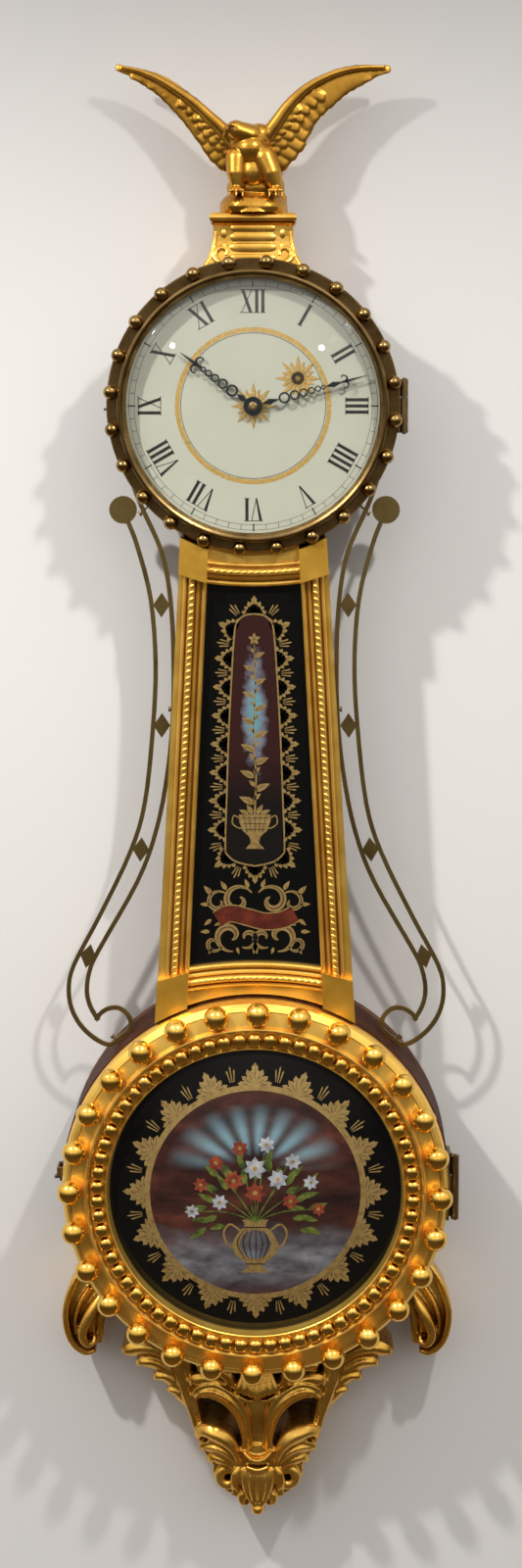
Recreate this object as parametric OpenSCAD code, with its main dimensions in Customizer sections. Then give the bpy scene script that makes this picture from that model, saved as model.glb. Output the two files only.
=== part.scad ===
// A girandole wall clock: a round head with a weight-driven movement, a tapered
// throat with a painted glass, and a round box below with a ball-studded gilt door.
// Millimetres, +Z up, the wall is the plane y = 0 and the front looks along -Y.
// The origin is where the clock hangs: the centre of the hole in its hanging plate.
// Inside the modules heights are counted from the centre of the dial, and
// distances off the wall are counted forwards.

/* [Case] */
// Height of the hanging hole above the centre of the dial
hang_h = 87; // [86:0.5:88]
// Distance from the centre of the dial down to the centre of the round box
box_drop = 620; // [600:5:640]
// Thickness of the back board
board_t = 12; // [10:0.5:14]
// Outer radius of the wooden head ring
head_r = 109; // [108:0.5:110]
// Radial thickness of the head ring
head_wall = 17; // [15:0.5:17]
// Distance from the wall to the front of the head ring
head_front = 70; // [70:0.5:74]
// Outer radius of the round box
drum_r = 155; // [150:1:158]
// Wall of the round box
drum_wall = 10; // [7:0.5:12]
// Distance from the wall to the front of the round box
drum_front = 72; // [70:1:74]
// Depth of the front rims of head and box that run unbroken past the throat
rim_t = 10; // [6:0.5:10]
// Half width of the throat under the head
throat_top_w = 54.8; // [52:0.5:58]
// Half width of the throat over the box
throat_bottom_w = 77.3; // [74:0.5:82]
// Thickness of a throat side
side_t = 9; // [7:0.5:10]
// Distance from the wall to the front of the throat sides
throat_front = 64; // [63:0.5:66]
// Thickness of the tin guard between weight and pendulum
guard_t = 1; // [0.6:0.1:1.5]
// Distance from the wall to the back of that guard
guard_at = 45; // [44:0.5:47]

/* [Hanging and screws] */
// Width of the hanging plate
hanger_w = 60; // [50:1:70]
// Height of the hanging plate
hanger_h = 22; // [18:1:24]
// Thickness of the hanging plate
hanger_t = 2; // [1.5:0.1:3]
// Radius of the hanging hole
hang_hole_r = 4; // [3:0.25:4.5]
// Radius of the clearance behind the hanging hole for the nail's head
hang_pocket_r = 5; // [5:0.25:5.5]
// Radius of the screw hole that steadies the clock at the bottom
wall_hole_r = 2.5; // [2:0.25:3]
// Distance of that hole below the centre of the box
wall_hole_down = 84; // [76:1:90]
// Shank radius of the wood screws
screw_r = 1.6; // [1.2:0.1:2]
// Length of a wood screw under its head
screw_len = 9; // [6:0.5:9]

/* [Throat frame] */
// Half width of the sight of the throat glass, taken up to the throat's top
sight_top_w = 34.4; // [32:0.5:36]
// Half width of the same sight, taken down to the throat's bottom
sight_bottom_w = 54; // [51:0.5:56]
// Height of the gilt moulding over the throat sides
rail_h = 12; // [10:0.5:14]
// How much further the corner blocks stand out
block_proud = 3; // [1:0.5:4]
// How much wider than the rails the corner blocks are
block_over = 1.6; // [0.5:0.1:2.5]
// Thickness of the throat glass
tablet_t = 2; // [1.5:0.1:3]

/* [Dial and hands] */
// Radius of the painted dial
dial_r = 105.5; // [103:0.5:105.5]
// Thickness of the dial
dial_t = 1; // [0.8:0.1:1.5]
// Reach of the minute hand
minute_reach = 91; // [84:1:93]
// Reach of the hour hand
hour_reach = 69; // [62:1:72]
// Thickness of a hand
hand_t = 1; // [0.6:0.1:1.2]
// Minutes past the hour at rest
minutes_shown = 12.5; // [0:0.5:59.5]
// Hour shown at rest
hour_shown = 10; // [0:1:11]

/* [Bezel] */
// Outer radius of the bezel
bezel_r = 112.5; // [112:0.5:114]
// Radius of the bezel's sight
bezel_sight = 97; // [95:0.5:98]
// Number of balls on the bezel
bezel_ball_n = 24; // [20:1:28]
// Radius of a bezel ball
bezel_ball_r = 4.75; // [4:0.25:4.75]
// Radius of the circle of the bezel balls
bezel_ball_ring = 109.4; // [109:0.2:110]
// Rise of the domed dial glass
dial_dome = 12; // [9:0.5:16]

/* [Box door] */
// How much smaller than the box the gilt door ring is, all round
door_in = 1; // [0:0.5:3]
// Width of the door ring, from its edge to the glass
door_ring_w = 38; // [37:0.5:42]
// Number of balls on the door
door_ball_n = 28; // [24:1:30]
// Radius of a door ball
door_ball_r = 9.5; // [8:0.25:10]
// Distance of the circle of the door balls from the door's edge
door_ball_in = 7; // [7:0.5:9]
// Number of beads round the door's glass
door_bead_n = 60; // [48:1:62]
// Radius of a door bead
door_bead_r = 6; // [5:0.25:6.25]
// Rise of the domed door glass
door_dome = 12; // [8:0.5:18]
// Thickness of both domed glasses
glass_t = 2; // [1.5:0.1:2.5]

/* [Movement] */
// Thickness of a movement plate
plate_t = 2; // [1.5:0.1:2.5]
// Distance between the movement plates
plate_gap = 28; // [28:0.5:30]
// Teeth of the great wheel
great_n = 96; // [92:4:96]
// Teeth of the centre wheel
centre_n = 72; // [68:2:72]
// Teeth of the third wheel
third_n = 64; // [60:2:64]
// Leaves of the three going pinions
leaf_n = 8; // [8:1:8]
// Teeth of the escape wheel
escape_n = 30; // [28:1:32]
// Tooth module of the centre and third wheels
train_m = 0.6; // [0.58:0.01:0.6]
// Sideways place of the winding arbor
wind_x = 34.2; // [33.5:0.1:35]
// Height of the winding arbor over the dial's centre
wind_z = 21; // [20:0.5:22]
// Height of the escape wheel's arbor over the dial's centre
escape_z = 43; // [42:0.25:43.5]
// Radius of the escape wheel at its tooth tips
escape_r = 18.5; // [17.5:0.25:18.5]
// Distance from the escape wheel's arbor up to the pallets' arbor
pallet_up = 25.6; // [25.2:0.1:26]

/* [Pendulum and weight] */
// Length of the pendulum from its bending point to the middle of the bob
pendulum_len = 690; // [680:1:700]
// Radius of the bob
bob_r = 42; // [36:1:46]
// Thickness of the bob
bob_t = 16; // [12:1:17]
// Radius of the drum where the middle of the cord lies
cord_drum_r = 8; // [7.5:0.1:8.2]
// Radius of the weight's cord
cord_r = 0.6; // [0.5:0.05:0.7]
// Radius of the weight's pulley where the middle of the cord lies
pulley_r = 11; // [10:0.25:12]
// Distance of the wound-up pulley below the centre of the dial
pulley_down = 85; // [80:1:92]
// Width of the weight
weight_w = 46; // [36:1:50]
// Front-to-back thickness of the weight
weight_d = 24; // [18:1:26]
// Height of the weight
weight_h = 140; // [110:5:150]

/* [Ornament] */
// Width of a bar of the brass sidearms
bar_w = 3.5; // [2.5:0.1:3.5]
// Thickness of the sidearm bars, front to back
bar_t = 2.5; // [2:0.1:4]
// Radius of the disc at the top of a sidearm
disc_r = 10.8; // [9:0.2:11]
// Distance from the wall to the middle of the sidearms
arm_at = 40; // [36:1:44]
// Half width of the finial's plinth at its slab
plinth_w = 33.5; // [30:0.5:36]
// Height of the top of the plinth over the centre of the dial
plinth_top = 147; // [145:0.5:149]
// Facets round a lump of carving
carve_fn = 8; // [6:2:10]

/* [Hidden] */

turn_fn = 96;
slip = 0.05;      // running clearance of a pivot, all round
easy = 0.3;       // clearance between pieces that pass each other
throat_top = -100;
throat_bottom = drum_r - box_drop - 15;
door_r = drum_r - door_in;
door_sight = door_r - door_ring_w;
door_ball_ring = door_r - door_ball_in;
head_bore = head_r - head_wall;

// Distances off the wall in the movement
plate_back = board_t;
train_back = plate_back + plate_t;
train_front = train_back + plate_gap;
motion_back = train_front + plate_t;
pendulum_at = motion_back + 11;
cord_at = train_back + 14;

// Distances off the wall at the dial and its glass
dial_front = head_front + dial_t;
hour_at = dial_front + 2.5;
minute_at = hour_at + hand_t + 1.5;
bezel_flange = head_front + 5.5;
bezel_seat = head_front + 10;
bezel_crest = head_front + 16;
glass_edge_r = bezel_sight + 3.2;

// Distances off the wall at the door
door_seat = drum_front + 11;
door_bed = drum_front + 19;
door_crest = drum_front + 22;
door_glass_r = door_sight + 3.2;
ball_face = drum_front + 16;

// Places of the movement's arbors, x and z from the dial's centre
wind_c = [wind_x, wind_z];
centre_d = norm(wind_c);
great_m = 2 * centre_d / (great_n + leaf_n);
centre_third = train_m * (centre_n + leaf_n) / 2;
third_escape = train_m * (third_n + leaf_n) / 2;
third_z = (pow(centre_third, 2) - pow(third_escape, 2) + pow(escape_z, 2)) / (2 * escape_z);
third_c = [-sqrt(pow(centre_third, 2) - pow(third_z, 2)), third_z];
escape_c = [0, escape_z];
verge_c = [0, escape_z + pallet_up];
minute_c = [-15, 0];
cannon_n = 12;
minute_n = 36;
nut_n = 10;
hour_n = 40;
cannon_m = 2 * norm(minute_c) / (cannon_n + minute_n);
hour_m = 2 * norm(minute_c) / (nut_n + hour_n);

pulley_x = wind_x - cord_drum_r - pulley_r;
bob_z = verge_c.y - pendulum_len;
minute_turn = -minutes_shown * 6;
hour_turn = -(hour_shown + minutes_shown / 60) * 30;

// Half width of something that tapers with the throat, at a height
function taper(z, top, bottom) = top + (bottom - top) * (throat_top - z) / (throat_top - throat_bottom);
function outer(z) = taper(z, throat_top_w, throat_bottom_w);
function sight(z) = taper(z, sight_top_w, sight_bottom_w);
// Points on an arc
function arc(c, r, from, to, n) = [for (i = [0:n]) let (a = from + (to - from) * i / n)
  [c.x + r * cos(a), c.y + r * sin(a)]];
// A smooth line through chosen points, with n steps between two of them
function spline_at(a, b, c, d, t) = 0.5 * (2 * b + (c - a) * t + (2 * a - 5 * b + 4 * c - d) * t * t
  + (3 * b - a - 3 * c + d) * t * t * t);
function smooth(p, n) = concat([for (i = [0:len(p) - 2]) for (j = [0:n - 1])
  spline_at(p[max(i - 1, 0)], p[i], p[i + 1], p[min(i + 2, len(p) - 1)], j / n)], [p[len(p) - 1]]);
// The outline of a flat bar of width w that follows a line
function across(p, i) = let (d = p[min(i + 1, len(p) - 1)] - p[max(i - 1, 0)]) [-d.y, d.x] / norm(d);
function ribbon(p, w) = concat([for (i = [0:len(p) - 1]) p[i] + across(p, i) * w / 2],
  [for (i = [len(p) - 1:-1:0]) p[i] - across(p, i) * w / 2]);

// Draws a flat shape, x across and z up, from one distance off the wall to another
module slab(near, far) {
  translate([0, -near, 0]) rotate([90, 0, 0]) linear_extrude(far - near) children();
}
// Turns a profile of radius and distance off the wall about a front-to-back axis
module turned(at) {
  translate([at.x, 0, at.y]) rotate([90, 0, 0]) rotate_extrude($fn = turn_fn) children();
}
// A round bar that runs from front to back
module bar(at, near, far, r) {
  translate([at.x, -near, at.y]) rotate([90, 0, 0]) cylinder(h = far - near, r = r, $fn = 32);
}
// Moves heights counted from the dial's centre to heights counted from the hanging hole
module from_dial() {
  translate([0, 0, -hang_h]) children();
}
module mirrored() {
  children();
  mirror([1, 0, 0]) children();
}
module box_circle(r) {
  translate([0, -box_drop]) circle(r, $fn = turn_fn);
}
// A round-headed wood screw whose shank goes back from its head
module wood_screw(at, head_back) {
  bar(at, head_back - screw_len, head_back, screw_r);
  translate([at.x, -head_back, at.y]) rotate([90, 0, 0]) cylinder(h = 1.4, r1 = 3.2, r2 = 2.2, $fn = 32);
}

// Case

screw_places = [[-42, 8], [54, -10], [20, -44]];
hanger_screw_x = hanger_w / 2 - 6;

module back_board() {
  color("saddlebrown") from_dial() difference() {
    slab(0, board_t) difference() {
      union() {
        circle(head_r, $fn = turn_fn);
        polygon([[-outer(-90), -90], [outer(-90), -90], [outer(throat_bottom - 20), throat_bottom - 20],
          [-outer(throat_bottom - 20), throat_bottom - 20]]);
        box_circle(drum_r);
      }
      translate([0, hang_h]) circle(hang_pocket_r, $fn = 32);
      translate([0, -box_drop - wall_hole_down]) circle(wall_hole_r, $fn = 32);
    }
    translate([-hanger_w / 2, -hanger_t, hang_h - hanger_h / 2]) cube([hanger_w, hanger_t, hanger_h]);
    for (s = [-1, 1]) bar([s * hanger_screw_x, hang_h], hanger_t, screw_len, screw_r);
    for (p = screw_places) bar(p, board_t + plate_t - screw_len, board_t, screw_r);
  }
}

module hanger_plate() {
  color("slategray") difference() {
    translate([-hanger_w / 2, -hanger_t, -hanger_h / 2]) cube([hanger_w, hanger_t, hanger_h]);
    rotate([90, 0, 0]) cylinder(h = hanger_t, r = hang_hole_r, $fn = 48);
    for (s = [-1, 1]) translate([s * hanger_screw_x, 0, 0]) rotate([90, 0, 0])
      cylinder(h = hanger_t, r1 = 2 * screw_r, r2 = screw_r, $fn = 32);
  }
}

module wood_screws() {
  color("dimgray") from_dial() {
    for (p = screw_places) wood_screw(p, board_t + plate_t);
    for (s = [-1, 1]) translate([s * hanger_screw_x, 0, hang_h]) rotate([90, 0, 0]) {
      cylinder(h = hanger_t, r1 = 2 * screw_r, r2 = screw_r, $fn = 32);
      translate([0, 0, hanger_t]) cylinder(h = screw_len - hanger_t, r = screw_r, $fn = 32);
    }
  }
}

dial_screw_r = dial_r - 3.5;
dial_screw_turns = [45, 135, 225, 315];
dowel_r = 4;

module head_ring() {
  color("saddlebrown") from_dial() difference() {
    turned([0, 0]) translate([head_bore, board_t]) square([head_wall, head_front - board_t]);
    slab(board_t, head_front - rim_t) translate([side_t - outer(-90), -head_r - 5])
      square([2 * (outer(-90) - side_t), head_r]);
    hinge_notch(bezel_hinge);
    for (a = dial_screw_turns) bar(dial_screw_r * [cos(a), sin(a)], dial_front - screw_len, head_front, 1.2);
    button_hole(bezel_catch);
    translate([0, -38, head_r - 10]) cylinder(h = 12, r = dowel_r, $fn = 32);
    pin_shanks();
  }
}

module throat_sides() {
  color("saddlebrown") from_dial() difference() {
    mirrored() slab(board_t, throat_front) difference() {
      polygon([[outer(-60) - side_t, -60], [outer(-60), -60],
        [outer(throat_bottom - 40), throat_bottom - 40],
        [outer(throat_bottom - 40) - side_t, throat_bottom - 40]]);
      circle(head_r, $fn = turn_fn);
      box_circle(drum_r);
    }
    guard_shape();
    pin_shanks();
  }
}

module drum_ring() {
  color("saddlebrown") from_dial() difference() {
    turned([0, -box_drop]) translate([drum_r - drum_wall, board_t]) square([drum_wall, drum_front - board_t]);
    slab(board_t, drum_front - rim_t) translate([side_t - outer(throat_bottom - 5), -box_drop + drum_r / 2])
      square([2 * (outer(throat_bottom - 5) - side_t), drum_r]);
    hinge_notch(door_hinge);
    button_hole(door_catch);
    pin_shanks();
  }
}

// The tin guard slides in a groove in each throat side
groove = 2;
module guard_shape() {
  slab(guard_at, guard_at + guard_t) polygon([
    [-outer(-112) + side_t - groove, -112], [outer(-112) - side_t + groove, -112],
    [outer(throat_bottom + 12) - side_t + groove, throat_bottom + 12],
    [-outer(throat_bottom + 12) + side_t - groove, throat_bottom + 12]]);
}
module weight_guard() {
  color("silver") from_dial() guard_shape();
}

// Gilt frame of the throat

block_edge_in = -136;
block_edge_out = -129;
foot_edge_in = throat_bottom + 36;
foot_edge_out = throat_bottom + 29;
top_arc_r = bezel_ball_ring + bezel_ball_r + 1.2;
foot_arc_r = drum_r + 1.5;
rail_w = 30;
// Moulding across a rail, from its sight edge outwards: fillet, groove, bead, the roll that is
// carved as a rope, groove, ridge, slope
rope_at = 11.4;
rope_r = 2.5;
rope_root = rail_h - 2.6;
rail_profile = concat([[0, 0], [0, 4.2]], arc([2, 4.6], 1.9, 180, 10, 6), [[4.2, 3.6], [5.2, 3.6]],
  arc([7.1, 5.2], 1.8, 190, 20, 5), [[8.9, rope_root - 1.2]], arc([rope_at, rope_root], rope_r, 190, -10, 8),
  [[14.2, rope_root - 2], [15, rope_root - 2.4]], arc([16.6, rope_root - 2], 1.5, 180, 20, 5),
  [[18.6, rope_root - 3.4], [rail_w, rope_root - 4], [rail_w, 0]]);

module side_rails() {
  tilt = atan((sight_bottom_w - sight_top_w) / (throat_top - throat_bottom));
  color("goldenrod") from_dial() mirrored() intersection() {
    translate([sight(throat_bottom), -throat_front, throat_bottom]) rotate([0, -tilt, 0])
      linear_extrude(throat_top - throat_bottom + 20) polygon([for (p = rail_profile) [p.x, -p.y]]);
    slab(throat_front - 1, throat_front + rail_h + 1) polygon([[sight(block_edge_in), block_edge_in],
      [outer(block_edge_out) + block_over, block_edge_out], [outer(foot_edge_out) + block_over, foot_edge_out],
      [sight(foot_edge_in), foot_edge_in]]);
  }
}

top_sight_z = -139.5;
top_sight_r = 300;
foot_sight_z = throat_bottom + 42.1;
foot_sight_r = 330;
module cross_rails() {
  color("goldenrod") from_dial() {
    difference() {
      intersection() {
        turned([0, top_sight_z + top_sight_r])
          polygon([for (p = rail_profile) [top_sight_r - p.x, throat_front + p.y]]);
        slab(throat_front, throat_front + rail_h) polygon([[-sight(-95), -95], [sight(-95), -95],
          [sight(-145), -145], [-sight(-145), -145]]);
      }
      slab(throat_front + 2, throat_front + rail_h + 1) circle(top_arc_r, $fn = turn_fn);
      slab(throat_front - 1, throat_front + 3) circle(head_r, $fn = turn_fn);
    }
    difference() {
      intersection() {
        turned([0, foot_sight_z - foot_sight_r])
          polygon([for (p = rail_profile) [foot_sight_r - p.x, throat_front + p.y]]);
        slab(throat_front, throat_front + rail_h) polygon([[-sight(foot_edge_in + 14), foot_edge_in + 14],
          [sight(foot_edge_in + 14), foot_edge_in + 14], [sight(throat_bottom - 20), throat_bottom - 20],
          [-sight(throat_bottom - 20), throat_bottom - 20]]);
      }
      slab(throat_front - 1, throat_front + rail_h + 1) box_circle(foot_arc_r);
    }
  }
}

module corner_blocks() {
  color("goldenrod") from_dial() mirrored() slab(throat_front, throat_front + rail_h + block_proud) {
    difference() {
      polygon([[sight(-90), -90], [outer(-90) + block_over, -90],
        [outer(block_edge_out) + block_over, block_edge_out], [sight(block_edge_in), block_edge_in]]);
      circle(top_arc_r, $fn = turn_fn);
    }
    difference() {
      polygon([[sight(foot_edge_in), foot_edge_in], [outer(foot_edge_out) + block_over, foot_edge_out],
        [outer(throat_bottom - 20) + block_over, throat_bottom - 20],
        [sight(throat_bottom - 20), throat_bottom - 20]]);
      box_circle(foot_arc_r);
    }
  }
}

tablet_lap = 2.5;
tablet_top = -132;
tablet_bottom = foot_edge_in - 3;
module throat_tablet() {
  color("black") from_dial() slab(throat_front - tablet_t, throat_front) polygon([
    [-sight(tablet_top) - tablet_lap, tablet_top], [sight(tablet_top) + tablet_lap, tablet_top],
    [sight(tablet_bottom) + tablet_lap, tablet_bottom], [-sight(tablet_bottom) - tablet_lap, tablet_bottom]]);
}

clip_t = 0.8;
module tablet_clips() {
  color("silver") from_dial() mirrored() for (share = [0.16, 0.5, 0.84]) {
    z = throat_top + share * (throat_bottom - throat_top);
    back = throat_front - tablet_t - clip_t;
    slab(back, back + clip_t) polygon([[sight(z), z + 4], [outer(z + 4) - side_t, z + 4],
      [outer(z - 4) - side_t, z - 4], [sight(z), z - 4]]);
  }
}

// Brass sidearms, points from the dial's centre for a throat 380 long

function drop(z) = z > throat_top ? z : throat_top + (z - throat_top) * (throat_top - throat_bottom) / 380;
function dropped(line) = [for (p = line) [p.x, drop(p.y)]];
touch_z = -240;
disc_c = [103, -82];
outer_line = [[99, -92], [92, -111], [82, -152], [78.5, -203], [81, -254], [88, -315], [100, -355],
  [125, -407], [146, -447], [150.5, -468], [147, -487], [136, -503], [120, -513], [109.5, -507.3],
  [101, -499], [103, -489], [110, -483], [118, -483], [125, -487], [129, -493]];
inner_line = [[96.5, -56], [93, -68], [87, -83], [80, -98], [73.5, -114], [69, -133], [66, -158],
  [64.5, -190], [outer(drop(touch_z)) + bar_w / 2, touch_z], [69.5, -289], [79, -337], [94.5, -379],
  [126, -435], [133.5, -452], [136, -468], [133.5, -481], [127, -493]];
diamonds = [[73.5, -157], [74, -253], [91.5, -353], [134.5, -440]];

module diamond(at, r) {
  translate(at) rotate(atan2(at.x - 70, 300)) polygon([[0, -1.5 * r], [r, 0], [0, 1.5 * r], [-r, 0]]);
}
module sidearms() {
  color("darkgoldenrod") from_dial() mirrored() difference() {
    union() {
      slab(arm_at - bar_t / 2, arm_at + bar_t / 2) {
        polygon(ribbon(smooth(dropped(outer_line), 4), bar_w));
        polygon(ribbon(smooth(dropped(inner_line), 4), bar_w));
        for (p = dropped(diamonds)) diamond(p, 6.6);
      }
      bar(disc_c, arm_at - bar_t / 2 - 0.5, arm_at + bar_t / 2 + 0.5, disc_r);
    }
    slab(0, 80) circle(head_r, $fn = turn_fn);
    slab(0, 80) box_circle(drum_r);
    pin_shanks();
    pin_heads();
  }
}

// Dark pins that nail the sidearms to the head, the throat and the box
pin_r = 0.9;
pin_places = [[[0, 0], 0, -43.5, head_r - 5, head_r + 14],
  [[0, drop(touch_z)], 0, 0, outer(drop(touch_z)) - 5, outer(drop(touch_z)) + bar_w + 0.5],
  [[0, -box_drop], 0, 44.5, drum_r - 5, drum_r + 6.5]];
module pin_shanks() {
  mirrored() for (p = pin_places) translate([p[0].x, -arm_at, p[0].y]) rotate([0, -p[2], 0])
    rotate([0, 90, 0]) translate([0, 0, p[3]]) cylinder(h = p[4] - p[3], r = pin_r, $fn = 24);
}
module pin_heads() {
  mirrored() for (p = pin_places) translate([p[0].x, -arm_at, p[0].y]) rotate([0, -p[2], 0])
    rotate([0, 90, 0]) translate([0, 0, p[4]]) cylinder(h = 1.6, r = 2, $fn = 24);
}
module sidearm_pins() {
  color("dimgray") from_dial() {
    pin_shanks();
    pin_heads();
  }
}

// Finial: a plinth with hollowed sides, and a gilt eagle with spread wings

plinth_base_w = 41;
plinth_base = 98;
plinth_neck_w = 30.5;
plinth_back = 16;
plinth_front = 58;
slab_h = 8;
flare_r = 48;
eagle_at = 40;
flare = arc([plinth_neck_w + flare_r, plinth_top - slab_h - 6], flare_r, 180, 218, 8);
slab_edge = arc([plinth_w - slab_h / 2, plinth_top - slab_h / 2], slab_h / 2, 90, -90, 6);
module finial_plinth() {
  side = concat(slab_edge, [[plinth_neck_w + 2.5, plinth_top - slab_h],
    [plinth_neck_w, plinth_top - slab_h - 2]], flare, [[plinth_base_w, plinth_base]]);
  deep = plinth_front - plinth_w;
  color("goldenrod") from_dial() {
    difference() {
      intersection() {
        mirrored() slab(plinth_back, head_front) polygon(concat(side, [[0, plinth_base], [0, plinth_top]]));
        translate([-60, 0, 0]) rotate([90, 0, 90]) linear_extrude(120)
          polygon(concat([for (p = side) [-p.x - deep, p.y]], [[-plinth_back, plinth_base - 10],
            [-plinth_back, plinth_top]]));
      }
      rotate([90, 0, 0]) cylinder(h = 100, r = head_r, $fn = turn_fn);
    }
    translate([0, -38, head_r - 10]) cylinder(h = 12, r = dowel_r, $fn = 32);
  }
}

// One lump of carving: x, distance off the wall, height, radius and front-to-back stretch
module lump(p, fn) {
  translate([p[0], -p[1], p[2]]) scale([1, p[4], 1]) sphere(p[3], $fn = fn);
}
// A tapering strand of carving through lumps
module strand(lumps, fn = carve_fn) {
  for (i = [0:len(lumps) - 2]) hull() {
    lump(lumps[i], fn);
    lump(lumps[i + 1], fn);
  }
}

// Front edge and rear edge of each wing, by share of its length, as x and height
left_front_x = [[0, -14], [0.25, -31], [0.5, -52], [0.75, -77], [1, -104]];
left_front_z = [[0, 205], [0.25, 222], [0.5, 241], [0.75, 254], [1, 259.5]];
left_rear_x = [[0, -22], [0.15, -34], [0.3, -42], [0.5, -54], [0.7, -68], [0.85, -88], [1, -107]];
left_rear_z = [[0, 182], [0.15, 189], [0.3, 202], [0.5, 221], [0.7, 235], [0.85, 249], [1, 260]];
right_front_x = [[0, 10], [0.25, 25], [0.5, 48], [0.75, 76], [1, 104]];
right_front_z = [[0, 208], [0.25, 230], [0.5, 249], [0.75, 257], [1, 258]];
right_rear_x = [[0, 22], [0.15, 34], [0.3, 42], [0.5, 54], [0.7, 74], [0.85, 92], [1, 107]];
right_rear_z = [[0, 183], [0.15, 192], [0.3, 207], [0.5, 224], [0.7, 241], [0.85, 249], [1, 256]];
module wing(front_x, front_z, rear_x, rear_z) {
  quills = 13;
  for (i = [0:quills]) {
    t = i / quills;
    u = min(1, t + 0.08);
    hull() {
      lump([lookup(t, front_x), eagle_at + 2, lookup(t, front_z), 4.6 - 3 * t, 1], 8);
      lump([lookup(t, rear_x), eagle_at - 3, lookup(t, rear_z), 4.2 - 2.8 * t, 0.7], 8);
      lump([lookup(u, front_x), eagle_at + 2, lookup(u, front_z), 4.4 - 3 * u, 1], 8);
    }
  }
}
module eagle() {
  rock_h = 14;
  rock_at = (plinth_back + plinth_front) / 2;
  color("goldenrod") from_dial() {
    hull() {
      translate([0, -rock_at, plinth_top]) scale([1, 0.76, 1]) cylinder(h = 3, r = 26.5, $fn = 28);
      translate([0, -eagle_at, plinth_top + rock_h - 3]) scale([1, 0.76, 1]) cylinder(h = 1, r = 20, $fn = 28);
    }
    strand([[0, eagle_at, 170, 17, 1], [2, eagle_at + 2, 187, 19.5, 0.95],
      [0, eagle_at + 2, 199, 15, 0.95], [-7, eagle_at + 6, 208, 9.5, 1],
      [-12, eagle_at + 10, 210.5, 7.5, 1]], 14);
    strand([[-12, eagle_at + 10, 210.5, 6, 1], [-19.5, eagle_at + 12, 206, 3, 0.8],
      [-21, eagle_at + 12.5, 201.5, 1.2, 1]], 8);
    for (s = [-1, 1]) {
      strand([[s * 11, eagle_at + 9, 183, 9, 1], [s * 12, eagle_at + 13, 171, 6.5, 1],
        [s * 11, eagle_at + 12, 162, 4.2, 1]], 10);
      for (a = [-1, 0, 1]) strand([[s * 11, eagle_at + 12, 163, 3.2, 1],
        [s * 11 + 4 * a, eagle_at + 19 - abs(a), 159.5, 2.2, 1]], 8);
    }
    strand([[8, eagle_at - 10, 176, 11, 0.6], [18, eagle_at - 14, 163, 8, 0.5],
      [24, eagle_at - 16, 152, 5.5, 0.5]], 8);
    wing(left_front_x, left_front_z, left_rear_x, left_rear_z);
    wing(right_front_x, right_front_z, right_rear_x, right_rear_z);
  }
}

// Carved bracket under the box, heights from the box's lowest point; all but the stem is mirrored

module under_box() {
  difference() {
    children();
    translate([0, 0, -box_drop]) rotate([90, 0, 0])
      cylinder(h = 300, r = drum_r + 0.15, center = true, $fn = 128);
    translate([-2 * drum_r, 0, -box_drop - 3 * drum_r]) cube([4 * drum_r, 50, 4 * drum_r]);
  }
}
module bracket() {
  color("goldenrod") from_dial() under_box() translate([0, 0, -box_drop - drum_r]) {
    strand([[0, 30, 17, 26, 1.05], [0, 32, -25, 15, 1.6], [0, 30, -71, 13, 1.5], [0, 28, -97, 14, 1.3],
      [0, 26, -119, 10, 1.2], [0, 25, -131, 5.5, 1.2]], 12);
    for (a = [-2:2]) strand([[a * 4, 52, -7, 4, 1], [a * 6.5, 56, abs(a) * 3 - 25, 3.6, 1]]);
    mirrored() {
      strand([[72, 24, 29, 12, 2], [62, 25, -11, 10, 2.4], [50, 24, -51, 9, 2.4], [38, 24, -83, 9, 2.4],
        [26, 24, -105, 9, 2.2]]);
      strand([[66, 22, 23, 9, 1.6], [84, 24, 9, 7, 1.6], [103, 26, 5, 8.5, 1.3], [109, 27, 3.5, 6.5, 1.2]]);
      strand([[70, 22, 11, 8, 1.6], [86, 24, -5, 5.5, 1.6], [94, 26, -9, 5.5, 1.3]]);
      strand([[66, 22, -5, 7, 1.6], [78, 24, -20, 5.5, 1.5], [82, 26, -22, 5, 1.3]]);
      strand([[62, 22, -17, 7, 1.6], [70, 24, -33, 5, 1.5]]);
      strand([[10, 42, -91, 6, 1.3], [17, 46, -63, 6.5, 1.3], [25, 48, -38, 6.5, 1.3], [40, 46, -25, 6.5, 1.2],
        [55, 42, -26, 5, 1.2]]);
      strand([[28, 46, -15, 7, 1.2], [46, 44, -13, 6, 1.2], [58, 40, -15, 5, 1.2]]);
      strand([[46, 34, -61, 8, 1.4], [33, 40, -71, 9, 1.4], [22, 40, -89, 7, 1.4]]);
      strand([[44, 32, -75, 7, 1.3], [32, 36, -87, 7, 1.3]]);
      for (a = [0:60:300]) strand([[22.5 + 7 * cos(a), 34, 7 * sin(a) - 104, 3.4, 2],
        [22.5 + 7 * cos(a + 60), 34, 7 * sin(a + 60) - 104, 3.4, 2]]);
      strand([[16, 30, -113, 6, 1.5], [12, 28, -123, 4.5, 1.3]]);
    }
  }
}

// Scrolled ears at the lower sides of the box, points from its rim
module ears() {
  rim_at = [drum_r * cos(40), 0, -box_drop - drum_r * sin(40)];
  color("goldenrod") from_dial() under_box() mirrored() translate(rim_at) {
    strand([[3.3, 34, 13.6, 9, 2], [17.3, 35, 5.6, 10, 2], [28.3, 36, -10.4, 10, 1.9],
      [29.3, 36, -28.4, 9.5, 1.8], [21.3, 36, -41.4, 8.5, 1.7], [10.3, 36, -39.4, 7, 1.6],
      [6.3, 36, -28.4, 6, 1.6], [12.3, 36, -21.4, 5.5, 1.5]], 10);
    strand([[-6.7, 34, 7.6, 8, 2], [1.3, 35, -6.4, 8, 1.8], [5.3, 36, -22.4, 6, 1.6]], 10);
  }
}

// Hinges and turn buttons

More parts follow.
